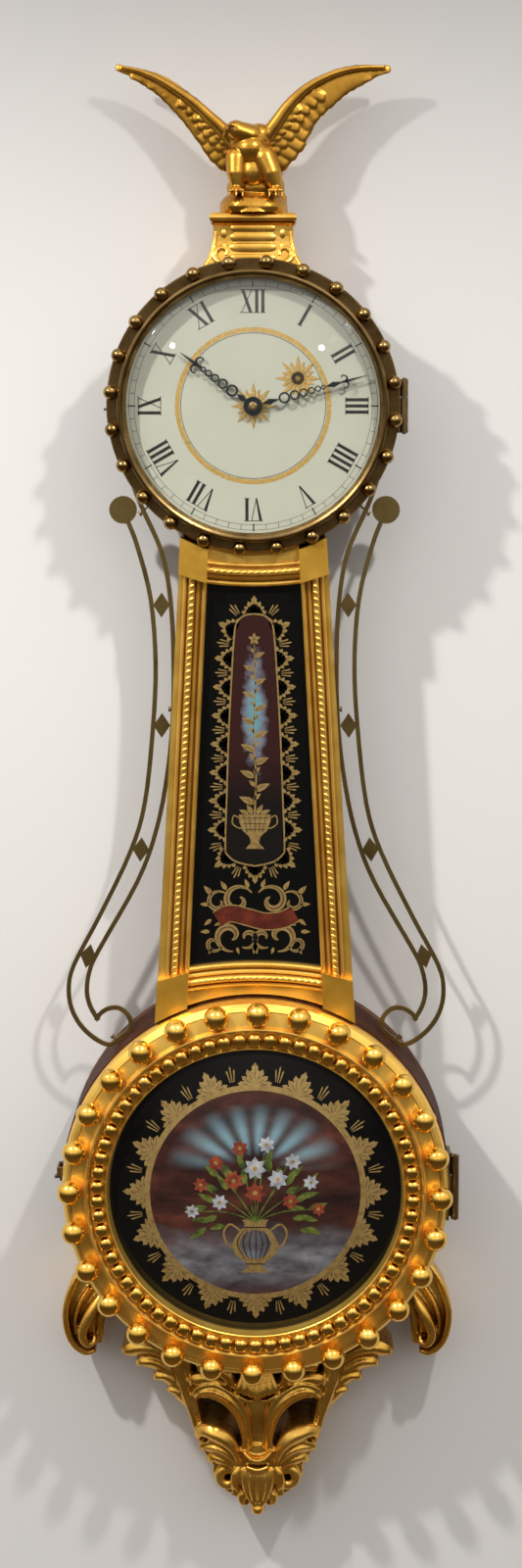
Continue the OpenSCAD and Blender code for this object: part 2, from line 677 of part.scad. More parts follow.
// Pin x, pin distance off the wall, height, half length, knuckle radius, radius of the case,
// front of the case, radius of the door's edge
bezel_hinge = [bezel_r + 3.4, head_front + 2, 0, 20.5, 3, head_r, head_front, bezel_r];
door_hinge = [drum_r + 4, drum_front + 3, -box_drop, 26, 3.2, drum_r, drum_front, door_r];
leaf_deep = 20;
leaf_t = 2.6;
leaf_flush = 0.6;
pin_hinge_r = 1.5;
function leaf_x(h) = h[5] + leaf_flush - leaf_t;
module hinge_notch(h) {
  translate([leaf_x(h), -h[6] + 1.5, h[2] - h[3]]) cube([20, leaf_deep, 2 * h[3]]);
}
module plan(z, h) {
  translate([0, 0, z]) linear_extrude(h) children();
}
module fixed_leaf(h) {
  third = 2 * h[3] / 3;
  front = h[6] - 1.5;
  translate([leaf_x(h), -front, h[2] - h[3]]) cube([leaf_t, leaf_deep, 2 * h[3]]);
  for (z = [h[2] - h[3], h[2] + third / 2 + 0.15]) plan(z, third - 0.15) {
    translate([h[0], -h[1]]) circle(h[4], $fn = 48);
    polygon([[leaf_x(h) + leaf_t, -front + 4], [h[0] + 0.5, -h[1] + h[4] - 0.5],
      [h[0] - 1.6, -h[1] + h[4] - 0.9], [leaf_x(h) + leaf_t, -front + 1.5]]);
  }
  plan(h[2] - h[3] - 1, 2 * h[3] + 2) translate([h[0], -h[1]]) circle(pin_hinge_r, $fn = 32);
}
module hinge_fixed_leaves() {
  color("darkgoldenrod") from_dial() {
    fixed_leaf(bezel_hinge);
    fixed_leaf(door_hinge);
  }
}
// The door's leaf lies let into the door's edge
module leaf_bed(h, deep) {
  translate([h[7] - 1.6, -h[6] - deep, h[2] - h[3]]) cube([1.6, deep - 0.6, 2 * h[3]]);
}
module moving_leaf(h, deep) {
  third = 2 * h[3] / 3;
  difference() {
    union() {
      leaf_bed(h, deep);
      plan(h[2] - third / 2 + 0.15, third - 0.3) {
        translate([h[0], -h[1]]) circle(h[4], $fn = 48);
        translate([h[7] - 1, -h[1] - 0.9]) square([h[0] - h[7], 1.8]);
      }
    }
    plan(h[2] - h[3] - 2, 2 * h[3] + 4) translate([h[0], -h[1]]) circle(pin_hinge_r + slip, $fn = 32);
  }
}

// Case radius, height over its centre, pivot's distance off the wall, radius of the
// door's edge, door's back and height of the centre
bezel_catch = [head_r, -3, head_front - 9, bezel_r, head_front, 0];
door_catch = [drum_r, 5, drum_front - 9, door_r, drum_front, -box_drop];
button_t = 1.4;
spindle_r = 1.5;
spindle_len = 6;
strike_z = [4, 11];
module sideways(x, d, z, len, r) {
  translate([x, -d, z]) rotate([0, -90, 0]) cylinder(h = len, r = r, $fn = 32);
}
module button_hole(c) {
  sideways(-c[0] + spindle_len, c[2], c[5] + c[1], spindle_len + 4, spindle_r + slip);
}
module turn_button(c) {
  z = c[5] + c[1];
  inner = -c[0] - 0.4;
  sideways(-c[0] + spindle_len, c[2], z, spindle_len + 0.4, spindle_r);
  sideways(inner, c[2], z, button_t, 2.6);
  translate([inner - button_t, -c[2] - 7.5, z - 1.5]) cube([button_t, 7.5, 3]);
  sideways(inner - button_t, c[2], z, 1.5, 1.6);
  translate([inner - button_t - 4.5, -c[2] - 2.6, z - 0.9]) cube([3, 5.2, 1.8]);
}
module strike(c) {
  low = c[5] + c[1] + strike_z[0];
  tall = strike_z[1] - strike_z[0];
  outer_x = -c[0] - button_t - 2;
  color("darkgoldenrod") difference() {
    union() {
      translate([outer_x, -c[4] - 3.5, low]) cube([1.3, c[4] + 3.5 - c[2] + 3.8, tall]);
      translate([outer_x, -c[2] + 1.8, low]) cube([button_t + 2 - easy, 2, tall]);
      translate([outer_x, -c[4] - 3.5, low]) cube([c[0] + button_t + 2 - c[3] + 3, 2.5, tall]);
    }
    turned([0, c[5]]) translate([0, c[4]]) square([c[3], 10]);
  }
}
module bezel_button() {
  color("darkgoldenrod") from_dial() turn_button(bezel_catch);
}
module door_button() {
  color("darkgoldenrod") from_dial() turn_button(door_catch);
}

// Dial and bezel

dial_bore_r = 5;
module dial_plate() {
  color("ivory") from_dial() slab(head_front, dial_front) difference() {
    circle(dial_r, $fn = turn_fn);
    circle(dial_bore_r, $fn = 48);
    translate(wind_c) circle(dial_bore_r, $fn = 48);
    for (a = dial_screw_turns) translate(dial_screw_r * [cos(a), sin(a)]) circle(1.2, $fn = 24);
  }
}
module dial_screws() {
  color("darkgoldenrod") from_dial() for (a = dial_screw_turns) {
    at = dial_screw_r * [cos(a), sin(a)];
    bar(at, dial_front - screw_len, dial_front, 1.2);
    bar(at, dial_front, dial_front + 1.2, 2.4);
  }
}

bezel_shoulder = bezel_ball_ring - bezel_ball_r - 0.4;
bezel_rabbet = glass_edge_r + easy;
bezel_profile = concat([[dial_r + 1, head_front], [bezel_r, head_front], [bezel_r, bezel_flange - 1],
  [bezel_r - 1, bezel_flange], [bezel_shoulder, bezel_flange], [bezel_shoulder - 0.3, bezel_crest - 5]],
  arc([bezel_shoulder - 2.6, bezel_crest - 2.5], 2.3, 0, 110, 5),
  [[bezel_sight + 2.4, bezel_crest - 1.2], [bezel_sight + 0.6, bezel_seat + 2], [bezel_sight, bezel_seat + 0.8],
  [bezel_sight, bezel_seat], [bezel_rabbet, bezel_seat], [bezel_rabbet, head_front + 3.2],
  [dial_r + 1, head_front + 3.2]]);
stud_r = 1.4;
function ring_turn(i, n) = 90 - 5.6 - i * 360 / n;
module bezel_ring() {
  color("peru") from_dial() difference() {
    turned([0, 0]) polygon(bezel_profile);
    for (i = [0:bezel_ball_n - 1]) {
      a = ring_turn(i, bezel_ball_n);
      bar(bezel_ball_ring * [cos(a), sin(a)], bezel_flange - 3, bezel_flange + 1, stud_r);
    }
    leaf_bed(bezel_hinge, 5);
  }
}
module bezel_balls() {
  color("darkgoldenrod") from_dial() for (i = [0:bezel_ball_n - 1]) {
    a = ring_turn(i, bezel_ball_n);
    at = bezel_ball_ring * [cos(a), sin(a)];
    middle = bezel_flange + bezel_ball_r - 0.6;
    difference() {
      translate([at.x, -middle, at.y]) sphere(bezel_ball_r, $fn = 32);
      bar(at, middle - bezel_ball_r - 1, bezel_flange, bezel_ball_r + 1);
    }
    bar(at, bezel_flange - 3, bezel_flange + 1, stud_r);
  }
}

// Half section of a domed glass with a flat rim, from its middle outwards
function dome(r, rise, base, n) = let (big = (r * r + rise * rise) / (2 * rise))
  [for (i = [0:n]) let (x = r * i / n) [x, base + rise - big + sqrt(big * big - x * x)]];
module domed_glass(at, sight_r, edge_r, seat, rise) {
  inside = dome(sight_r - 0.5, rise, seat - glass_t, 12);
  outside = dome(sight_r - 0.5, rise, seat, 12);
  turned(at) polygon(concat(inside, [[edge_r, seat - glass_t], [edge_r, seat]],
    [for (i = [12:-1:0]) outside[i]]));
}
module dial_glass() {
  color("lightcyan", 0.4) from_dial() domed_glass([0, 0], bezel_sight, glass_edge_r, bezel_seat, dial_dome);
}
module glass_clips(at, inner, outer_r, back) {
  intersection() {
    turned(at) translate([inner, back]) square([outer_r - inner, clip_t]);
    translate([at.x, 0, at.y]) for (a = [0, 90]) rotate([0, a, 0]) cube([2 * outer_r, 300, 6], center = true);
  }
}
module bezel_leaf() {
  color("darkgoldenrod") from_dial() moving_leaf(bezel_hinge, 5);
}
module bezel_fixings() {
  color("darkgoldenrod") from_dial() {
    glass_clips([0, 0], bezel_sight, bezel_rabbet, bezel_seat - glass_t - clip_t);
    strike(bezel_catch);
  }
}

// Round door

door_rabbet = door_glass_r + easy;
door_bead_ring = door_sight + 9.5;
bed_in = door_bead_ring - 6.3;
bed_out = door_bead_ring + 6.5;
door_profile = concat([[door_rabbet, drum_front], [door_r, drum_front], [door_r, drum_front + 8],
  [door_r - 1.5, drum_front + 12], [door_r - 4, drum_front + 14.6], [door_ball_ring + 0.4, ball_face],
  [door_ball_ring, ball_face - 0.6], [door_ball_ring - 0.4, ball_face], [bed_out + 4.5, drum_front + 18.4]],
  arc([bed_out + 1.8, door_crest - 1], 1.4, 20, 160, 4),
  [[bed_out, door_bed], [bed_in, door_bed]], arc([bed_in - 1, door_bed + 0.6], 0.9, 20, 150, 3),
  [[door_sight + 0.8, door_seat + 5], [door_sight, door_seat + 2], [door_sight, door_seat],
  [door_rabbet, door_seat]]);
function door_turn(i) = 90 - 1 - i * 360 / door_ball_n;
door_stud_r = 2.2;
module door_body() {
  turned([0, -box_drop]) polygon(door_profile);
}
function door_ball_at(i) = [door_ball_ring * cos(door_turn(i)), door_ball_ring * sin(door_turn(i)) - box_drop];
module door_ring() {
  color("goldenrod") from_dial() difference() {
    door_body();
    for (i = [0:door_ball_n - 1]) bar(door_ball_at(i), ball_face - 7, ball_face + 2, door_stud_r);
    leaf_bed(door_hinge, 8);
  }
}
module door_balls() {
  middle = ball_face + door_ball_r - 1;
  color("goldenrod") from_dial() {
    difference() {
      for (i = [0:door_ball_n - 1]) translate([door_ball_at(i).x, -middle, door_ball_at(i).y])
        sphere(door_ball_r, $fn = 48);
      door_body();
    }
    for (i = [0:door_ball_n - 1]) bar(door_ball_at(i), ball_face - 7, middle, door_stud_r);
  }
}
module door_beads() {
  color("goldenrod") from_dial() for (i = [0:door_bead_n - 1]) {
    a = i * 360 / door_bead_n;
    at = [door_bead_ring * cos(a), door_bead_ring * sin(a) - box_drop];
    difference() {
      translate([at.x, -door_bed, at.y]) sphere(door_bead_r, $fn = 32);
      bar(at, door_bed - door_bead_r - 1, door_bed, door_bead_r + 1);
    }
  }
}
module door_tablet() {
  color("black", 0.9) from_dial()
    domed_glass([0, -box_drop], door_sight, door_glass_r, door_seat, door_dome);
}
module door_leaf() {
  color("darkgoldenrod") from_dial() moving_leaf(door_hinge, 8);
}
module door_fixings() {
  color("darkgoldenrod") from_dial() {
    glass_clips([0, -box_drop], door_sight, door_rabbet, door_seat - glass_t - clip_t);
    strike(door_catch);
  }
}

// Movement plates

plate_top = verge_c.y + 11;
pillar_places = [[-42, -42], [54, -42], [-26, 66], [40, 64]];
cord_post = [pulley_x - pulley_r, -44];
module plate_shape() {
  polygon([[-50, -50], [62, -50], [62, 40], [46, plate_top - 8], [26, plate_top], [-26, plate_top],
    [-34, plate_top - 8], [-50, 40]]);
}
module hole(at, r) {
  translate(at) circle(r, $fn = 32);
}
module back_plate() {
  color("darkgoldenrod") from_dial() slab(plate_back, train_back) difference() {
    plate_shape();
    hole([0, 0], 1 + slip);
    hole(wind_c, 1.5 + slip);
    for (p = [third_c, escape_c, verge_c]) hole(p, 0.8 + slip);
    for (p = pillar_places) hole(p, 2);
    hole(cord_post, 1.2);
    for (p = screw_places) hole(p, screw_r);
  }
}
module front_plate() {
  color("darkgoldenrod") from_dial() {
    slab(train_front, motion_back) difference() {
      plate_shape();
      hole([0, 0], 1.4 + slip);
      hole(wind_c, 2.5 + slip);
      for (p = [third_c, escape_c]) hole(p, 0.8 + slip);
      hole(verge_c, 1 + slip);
      for (p = pillar_places) hole(p, 2);
      hole(cord_post, 1.2);
    }
    bar(minute_c, motion_back - 1, motion_back + 7.5, 1.5);
  }
}
module plate_pillars() {
  color("darkgoldenrod") from_dial() {
    for (p = pillar_places) {
      bar(p, train_back, train_front, 3.5);
      bar(p, plate_back, motion_back + 1.5, 2);
    }
    bar(cord_post, train_back, train_front, 2);
    bar(cord_post, plate_back, motion_back + 1, 1.2);
  }
}
spring_t = 0.4;
spring_w = 6;
module suspension_cock() {
  color("darkgoldenrod") from_dial() difference() {
    union() {
      slab(motion_back, motion_back + 2) polygon([[-11, verge_c.y + 3], [11, verge_c.y + 3],
        [7, verge_c.y + 13], [-7, verge_c.y + 13]]);
      translate([-4.5, -pendulum_at - 5, verge_c.y + 5]) cube([9, pendulum_at + 5 - motion_back, 5.5]);
    }
    translate([-0.8, -pendulum_at - spring_w / 2 - 0.5, verge_c.y]) cube([1.6, spring_w + 1, 20]);
  }
}

// Going train

// Outline of a toothed wheel: straight flanks up to the pitch circle, rounded tips beyond
function teeth(n, m, tip, root, share) = let (rp = n * m / 2, half = share * 180 / n)
  [for (i = [0:n - 1]) for (p = [[rp - root * m, -half], [rp, -half], [rp + 0.6 * tip * m, -0.5 * half],
    [rp + tip * m, -0.12 * half], [rp + tip * m, 0.12 * half], [rp + 0.6 * tip * m, 0.5 * half], [rp, half],
    [rp - root * m, half]]) let (a = i * 360 / n + p[1]) [p[0] * cos(a), p[0] * sin(a)]];
function wheel_teeth(n, m) = teeth(n, m, 1, 1.3, 0.62);
function pinion_leaves(n, m) = teeth(n, m, 0.4, 1.4, 0.42);
// Turn of a follower so that it is in mesh: line of centres, turn of the driver, teeth of both
function in_mesh(line, turn, n, n2) = line + 180 + 180 / n2 - (turn - line) * n / n2;
function line_to(a, b) = atan2(b.y - a.y, b.x - a.x);

great_phase = in_mesh(line_to([0, 0], wind_c), 0, leaf_n, great_n);
third_phase = in_mesh(line_to([0, 0], third_c), 0, centre_n, leaf_n);
escape_phase = in_mesh(line_to(third_c, escape_c), 0, third_n, leaf_n);
minute_phase = in_mesh(line_to([0, 0], minute_c), 0, cannon_n, minute_n);
hour_phase = in_mesh(line_to(minute_c, [0, 0]), 0, nut_n, hour_n);

// A toothed wheel with arms: rim, hub and crossings
module crossed(n, m, arms, hub, rim) {
  inner = n * m / 2 - rim;
  difference() {
    polygon(wheel_teeth(n, m));
    difference() {
      circle(inner, $fn = 64);
      circle(hub, $fn = 48);
      for (i = [0:arms - 1]) rotate(i * 360 / arms) translate([0, -1.2]) square([inner + 1, 2.4]);
    }
  }
}
module arbor(at, r, pivot_r, front_r, front_end) {
  bar(at, train_back + 0.2, train_front - 0.2, r);
  bar(at, plate_back, train_back + 1, pivot_r);
  bar(at, train_front - 1, front_end, front_r);
}

module centre_arbor() {
  color("darkgoldenrod") from_dial() {
    arbor([0, 0], 1.6, 1, 1.4, minute_at + hand_t + 4);
    slab(train_back + 3, train_back + 4.5) crossed(centre_n, train_m, 4, 4.5, 3);
    slab(train_back + 22, train_back + 27) rotate(0) polygon(pinion_leaves(leaf_n, great_m));
  }
}
module third_wheel() {
  color("darkgoldenrod") from_dial() {
    arbor(third_c, 1.2, 0.8, 0.8, motion_back);
    translate([third_c.x, 0, third_c.y]) {
      slab(train_back + 1.8, train_back + 6.5) rotate(third_phase) polygon(pinion_leaves(leaf_n, train_m));
      slab(train_back + 15, train_back + 16.2) crossed(third_n, train_m, 4, 4, 2.8);
    }
  }
}
module escape_wheel() {
  tip = 360 / escape_n;
  color("darkgoldenrod") from_dial() {
    arbor(escape_c, 1.2, 0.8, 0.8, motion_back);
    translate([escape_c.x, 0, escape_c.y]) {
      slab(train_back + 13.5, train_back + 18) rotate(escape_phase) polygon(pinion_leaves(leaf_n, train_m));
      slab(train_back + 8, train_back + 9.2) difference() {
        polygon([for (i = [0:escape_n - 1]) for (p = [[escape_r, 0], [escape_r, 0.06],
          [escape_r - 2.2, 0.45], [escape_r - 3.4, 0.68], [escape_r - 3.4, 0.95]])
          let (a = (i + p[1]) * tip) [p[0] * cos(a), p[0] * sin(a)]]);
        difference() {
          circle(escape_r - 5.6, $fn = 64);
          circle(4, $fn = 48);
          for (i = [0:3]) rotate(i * 90) translate([0, -1.1]) square([escape_r - 4, 2.2]);
        }
      }
    }
  }
}

click_pivot = 17;
ratchet_r = 10.5;
ratchet_n = 24;
module great_wheel() {
  color("darkgoldenrod") from_dial() translate([wind_c.x, 0, wind_c.y]) {
    slab(train_back + 23.3, train_back + 25.5) difference() {
      rotate(great_phase) crossed(great_n, great_m, 4, 21, 4);
      circle(2.5 + slip, $fn = 48);
    }
    bar([click_pivot, 0], train_back + 21.3, train_back + 24, 1);
  }
}
module click() {
  color("slategray") from_dial() translate([wind_c.x, 0, wind_c.y]) slab(train_back + 21.5, train_back + 23.1)
    difference() {
      union() {
        translate([click_pivot, 0]) circle(2.8, $fn = 32);
        polygon([[click_pivot + 1.4, -2.2], [click_pivot - 2.2, 1.4], (ratchet_r + 0.3) * [cos(44), -sin(44)],
          (ratchet_r + 2) * [cos(47), -sin(47)]]);
      }
      translate([click_pivot, 0]) circle(1 + slip, $fn = 32);
    }
}
module winding_drum() {
  core = cord_drum_r - cord_r;
  turns = 15;
  step = 1.2;
  start = train_back + 2.5;
  color("darkgoldenrod") from_dial() {
    turned(wind_c) polygon(concat([[0, plate_back], [1.5, plate_back], [1.5, train_back + 0.3], [4, train_back + 0.3],
      [4, train_back + 1.5], [core + 4, train_back + 1.5], [core + 4, start], [core, start]],
      [for (i = [0:turns - 1]) each [[core - 0.3, start + (i + 0.5) * step], [core, start + (i + 1) * step]]],
      [[core + 4, start + turns * step], [core + 4, train_back + 21.5], [2.5, train_back + 21.5],
      [2.5, motion_back + 9], [0, motion_back + 9]]));
    translate([wind_c.x, 0, wind_c.y]) {
      slab(train_back + 21, train_back + 23) polygon([for (i = [0:ratchet_n - 1]) for (p = [[ratchet_r, 0],
        [ratchet_r - 1.6, 0.06]]) let (a = (i + p[1]) * 360 / ratchet_n) [p[0] * cos(a), p[0] * sin(a)]]);
      bar([0, 0], train_back + 25.7, train_back + 27, 5);
      slab(motion_back + 8, head_front - 2) square(3.4, center = true);
    }
  }
}

// Anchor with its pallets held just clear of the escape wheel's tips, and the crutch
module verge() {
  reach = escape_r + 1.3;
  color("slategray") from_dial() {
    arbor(verge_c, 1.2, 0.8, 1, motion_back + 6.5);
    slab(train_back + 7.5, train_back + 10) {
      intersection() {
        translate(escape_c) difference() {
          circle(reach + 4.5, $fn = 96);
          circle(reach + 1.5, $fn = 96);
        }
        translate(escape_c) polygon([[0, 0], [40, 34], [0, 60], [-40, 34]]);
      }
      translate(escape_c) for (s = [-1, 1])
        polygon([for (p = [[reach + 3, 47], [reach + 3, 41], [reach, 43], [reach, 45.5]])
        [s * p[0] * cos(p[1]), p[0] * sin(p[1])]]);
      translate(verge_c) circle(4.2, $fn = 48);
    }
    slab(motion_back + 5, motion_back + 6.5) {
      translate(verge_c) circle(3, $fn = 32);
      translate([-1.5, 34]) square([3, verge_c.y - 34]);
      translate([-4.2, 34]) square([8.4, 4]);
    }
    for (s = [-1, 1]) translate([s * 3.3 - 0.9, -pendulum_at - 2.5, 34])
      cube([1.8, pendulum_at + 2.5 - motion_back - 6, 4]);
  }
}

// Motion work and hands

module cannon_pinion() {
  color("darkgoldenrod") from_dial() difference() {
    union() {
      bar([0, 0], motion_back + 0.8, minute_at, 2.2);
      bar([0, 0], minute_at, minute_at + hand_t, 1.9);
      slab(motion_back + 0.8, motion_back + 3.8) polygon(pinion_leaves(cannon_n, cannon_m));
    }
    bar([0, 0], motion_back, minute_at + 5, 1.4);
  }
}
module minute_wheel() {
  color("darkgoldenrod") from_dial() translate([minute_c.x, 0, minute_c.y]) {
    difference() {
      union() {
        slab(motion_back + 1.4, motion_back + 2.6) rotate(minute_phase) polygon(wheel_teeth(minute_n, cannon_m));
        slab(motion_back + 2.6, motion_back + 7) polygon(pinion_leaves(nut_n, hour_m));
      }
      bar([0, 0], motion_back, motion_back + 8, 1.5 + slip);
    }
  }
}
pipe_r = 3.2;
module hour_wheel() {
  color("darkgoldenrod") from_dial() difference() {
    union() {
      slab(motion_back + 5.2, motion_back + 6.4) rotate(hour_phase) polygon(wheel_teeth(hour_n, hour_m));
      bar([0, 0], motion_back + 4.6, hour_at + hand_t, pipe_r);
    }
    bar([0, 0], motion_back + 4, hour_at + hand_t + 1, 2.2 + slip);
  }
}

// A chain of open rings of falling size, upwards from a height
function ring_at(r, start, i) = i == 0 ? start + r[0] : ring_at(r, start, i - 1) + r[i - 1] + r[i] - 0.5;
module ring_chain(r, start) {
  difference() {
    for (i = [0:len(r) - 1]) translate([0, ring_at(r, start, i)]) circle(r[i], $fn = 32);
    for (i = [0:len(r) - 1]) translate([0, ring_at(r, start, i)]) circle(r[i] - 0.9, $fn = 32);
  }
}
module crossbar(z, r) {
  for (s = [-1, 1]) translate([s * (r - 0.1), z]) difference() {
    circle(r, $fn = 32);
    circle(r - 0.8, $fn = 32);
    translate([-s * r - r, -3 * r]) square([2 * r, 2 * r]);
  }
}
module leaf(from, to, w) {
  polygon([[0, from], [w, from + 0.42 * (to - from)], [0, to], [-w, from + 0.42 * (to - from)]]);
}
minute_rings = [3.3, 3.1, 2.8, 2.5, 2.2];
hour_rings = [3.5, 3.3, 3, 2.7, 2.4];
module minute_hand() {
  color("darkslategray") from_dial() slab(minute_at, minute_at + hand_t) rotate(minute_turn) difference() {
    union() {
      circle(4.4, $fn = 48);
      leaf(3.5, 17, 2.6);
      ring_chain(minute_rings, 16);
      translate([0, 43.5]) circle(1.8, $fn = 24);
      leaf(43, 55, 2.1);
      leaf(53, minute_reach, 1.5);
      crossbar(56.5, 2.3);
    }
    circle(1.9, $fn = 32);
  }
}
module hour_hand() {
  color("darkslategray") from_dial() slab(hour_at, hour_at + hand_t) rotate(hour_turn) difference() {
    union() {
      circle(5.6, $fn = 48);
      ring_chain(hour_rings, 5);
      translate([0, 34.4]) circle(1.8, $fn = 24);
      leaf(34, 48, 2.6);
      leaf(46, hour_reach, 1.9);
      crossbar(48, 2.9);
    }
    circle(pipe_r, $fn = 32);
  }
}
module hand_collet() {
  at = minute_at + hand_t;
  color("darkgoldenrod") from_dial() turned([0, 0]) polygon([[1.4, at], [3.6, at], [3.6, at + 0.8], [3, at + 1.7],
    [2, at + 2.2], [1.4, at + 2.2]]);
}

// Pendulum

rod_w = 4;
rod_t = 2;
thread_r = 1.6;
module pendulum_rod() {
  shoulder = bob_z + bob_r + 14;
  color("darkgoldenrod") from_dial() {
    difference() {
      translate([-3, -pendulum_at - 2.5, verge_c.y - 17]) cube([6, 5, 10]);
      translate([-spring_t / 2, -pendulum_at - spring_w / 2, verge_c.y - 9]) cube([spring_t, spring_w, 3]);
    }
    slab(pendulum_at - rod_t / 2, pendulum_at + rod_t / 2) {
      translate([-rod_w / 2, 18]) square([rod_w, verge_c.y - 34]);
      difference() {
        polygon([[-2, 23], [-13, 12], [-11.5, -12], [-2, -21], [2, -21], [11.5, -12], [13, 12], [2, 23]]);
        polygon([[0, 19], [-10.3, 10.5], [-9.2, -10.5], [0, -18], [9.2, -10.5], [10.3, 10.5]]);
      }
      translate([-rod_w / 2, shoulder]) square([rod_w, -18 - shoulder]);
    }
    translate([0, -pendulum_at, bob_z - bob_r - 16])
      cylinder(h = shoulder + 3 - bob_z + bob_r + 16, r = thread_r, $fn = 32);
  }
}
module suspension_spring() {
  color("slategray") from_dial() {
    translate([-spring_t / 2, -pendulum_at - spring_w / 2, verge_c.y - 9]) cube([spring_t, spring_w, 21.5]);
    translate([-1.8, -pendulum_at, verge_c.y + 11.7]) rotate([0, 90, 0]) cylinder(h = 3.6, r = 1, $fn = 24);
  }
}
module pendulum_bob() {
  edge = 1.2;
  rise = bob_t / 2 - edge;
  face = dome(bob_r, rise, pendulum_at + edge, 12);
  color("darkgoldenrod") from_dial() difference() {
    turned([0, bob_z]) polygon(concat([for (i = [0:12]) [face[i].x, 2 * pendulum_at - face[i].y]],
      [for (i = [12:-1:0]) face[i]]));
    translate([0, -pendulum_at, bob_z - bob_r - 1]) cylinder(h = 2 * bob_r + 2, r = thread_r + slip, $fn = 32);
  }
}
module rating_nut() {
  color("darkgoldenrod") from_dial() translate([0, -pendulum_at, bob_z - bob_r - 4]) difference() {
    cylinder(h = 4, r = 6, $fn = 48);
    translate([0, 0, -1]) cylinder(h = 6, r = thread_r + slip, $fn = 32);
  }
}

// Weight, its pulley and its cord

strap_gap = 3;
axle_r = 1.5;
weight_top = -pulley_down - 18;
module weight() {
  color("dimgray") from_dial() {
    translate([pulley_x, 0, weight_top]) slab(cord_at - weight_d / 2, cord_at + weight_d / 2)
      polygon([[-weight_w / 2 + 3, 0], [weight_w / 2 - 3, 0], [weight_w / 2, -4], [weight_w / 2, -weight_h],
        [-weight_w / 2, -weight_h], [-weight_w / 2, -4]]);
    for (s = [0, 1]) translate([pulley_x, s * (2 * strap_gap + 1.2), weight_top - 1])
      slab(cord_at + strap_gap, cord_at + strap_gap + 1.2) polygon([[-5, 0], [5, 0], [3.5, 22], [-3.5, 22]]);
    bar([pulley_x, -pulley_down], cord_at - strap_gap - 1.2, cord_at + strap_gap + 1.2, axle_r);
  }
}
module weight_pulley() {
  color("darkgoldenrod") from_dial() turned([pulley_x, -pulley_down]) difference() {
    translate([axle_r + slip, cord_at - 2.5]) square([pulley_r + 1.5 - axle_r - slip, 5]);
    hull() for (out = [0, 4]) translate([pulley_r + out, cord_at]) circle(cord_r + slip + out / 4, $fn = 24);
  }
}
module weight_cord() {
  color("beige") from_dial() {
    translate([pulley_x + pulley_r, -cord_at, -pulley_down])
      cylinder(h = wind_z + pulley_down, r = cord_r, $fn = 16);
    translate([pulley_x - pulley_r, -cord_at, -pulley_down])
      cylinder(h = cord_post.y - 2 + pulley_down, r = cord_r, $fn = 16);
    translate([pulley_x, -cord_at, -pulley_down]) rotate([90, 0, 0]) rotate([0, 0, 180])
      rotate_extrude(angle = 180, $fn = 64) translate([pulley_r, 0]) circle(cord_r, $fn = 16);
  }
}

back_board();
hanger_plate();
wood_screws();
head_ring();
throat_sides();
drum_ring();
weight_guard();
side_rails();
cross_rails();
corner_blocks();
throat_tablet();
tablet_clips();
sidearms();
sidearm_pins();
finial_plinth();
eagle();
bracket();
ears();
hinge_fixed_leaves();
dial_plate();
dial_screws();
back_plate();
front_plate();
plate_pillars();
suspension_cock();
bezel_ring();
bezel_balls();
dial_glass();
bezel_leaf();
bezel_fixings();
bezel_button();
door_ring();
door_balls();
door_beads();
door_tablet();
door_leaf();
door_fixings();
door_button();
centre_arbor();
cannon_pinion();
minute_hand();
hand_collet();
hour_wheel();
hour_hand();
minute_wheel();
great_wheel();
click();
winding_drum();
third_wheel();
escape_wheel();
verge();
pendulum_rod();
suspension_spring();
pendulum_bob();
rating_nut();
weight();
weight_pulley();
weight_cord();
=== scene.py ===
# Looks of a girandole wall clock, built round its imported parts. Metres, Z up, the wall at y = 0.
import math

import bmesh
import bpy
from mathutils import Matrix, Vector


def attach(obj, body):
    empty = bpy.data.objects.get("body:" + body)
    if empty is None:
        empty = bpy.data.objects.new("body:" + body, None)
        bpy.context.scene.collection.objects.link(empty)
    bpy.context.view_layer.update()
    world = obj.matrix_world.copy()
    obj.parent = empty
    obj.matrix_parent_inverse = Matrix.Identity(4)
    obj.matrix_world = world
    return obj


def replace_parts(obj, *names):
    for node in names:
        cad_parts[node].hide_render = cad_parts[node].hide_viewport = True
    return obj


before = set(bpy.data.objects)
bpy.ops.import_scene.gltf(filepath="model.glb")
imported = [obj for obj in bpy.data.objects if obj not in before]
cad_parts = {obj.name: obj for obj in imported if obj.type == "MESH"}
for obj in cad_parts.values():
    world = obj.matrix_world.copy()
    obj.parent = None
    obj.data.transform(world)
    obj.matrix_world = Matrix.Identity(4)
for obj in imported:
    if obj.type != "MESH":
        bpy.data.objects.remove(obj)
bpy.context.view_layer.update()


# The wall that the clock hangs on, the lamps and the camera.
# A pale painted wall that only shows from the room, lamps overhead and far off as in a shop, and a soft room.

dial_down = 87


def spot(across, out, up):
    """A point from millimetres across, off the wall, and up from the dial's centre, which is dial_down low."""
    return Vector((across, -out, up - dial_down)) / 1000


def node(tree, kind, sockets=(), **choices):
    """Adds a shader node, with its choices and its sockets' values or links."""
    made = tree.nodes.new("ShaderNode" + kind)
    for key, value in choices.items():
        setattr(made, key, value)
    for key, value in dict(sockets).items():
        if isinstance(value, bpy.types.NodeSocket):
            tree.links.new(value, made.inputs[key])
        else:
            made.inputs[key].default_value = value
    return made


def new_finish(name, colour, rough, metal=0.0):
    """A material, its main shader, and coordinates that stay with the piece."""
    finish = bpy.data.materials.new(name)
    finish.use_nodes = True
    finish.diffuse_color = (*colour, 1)
    shader = finish.node_tree.nodes["Principled BSDF"]
    shader.inputs["Base Color"].default_value = (*colour, 1)
    shader.inputs["Roughness"].default_value = rough
    shader.inputs["Metallic"].default_value = metal
    return finish, shader, node(finish.node_tree, "TexCoord").outputs["Object"]


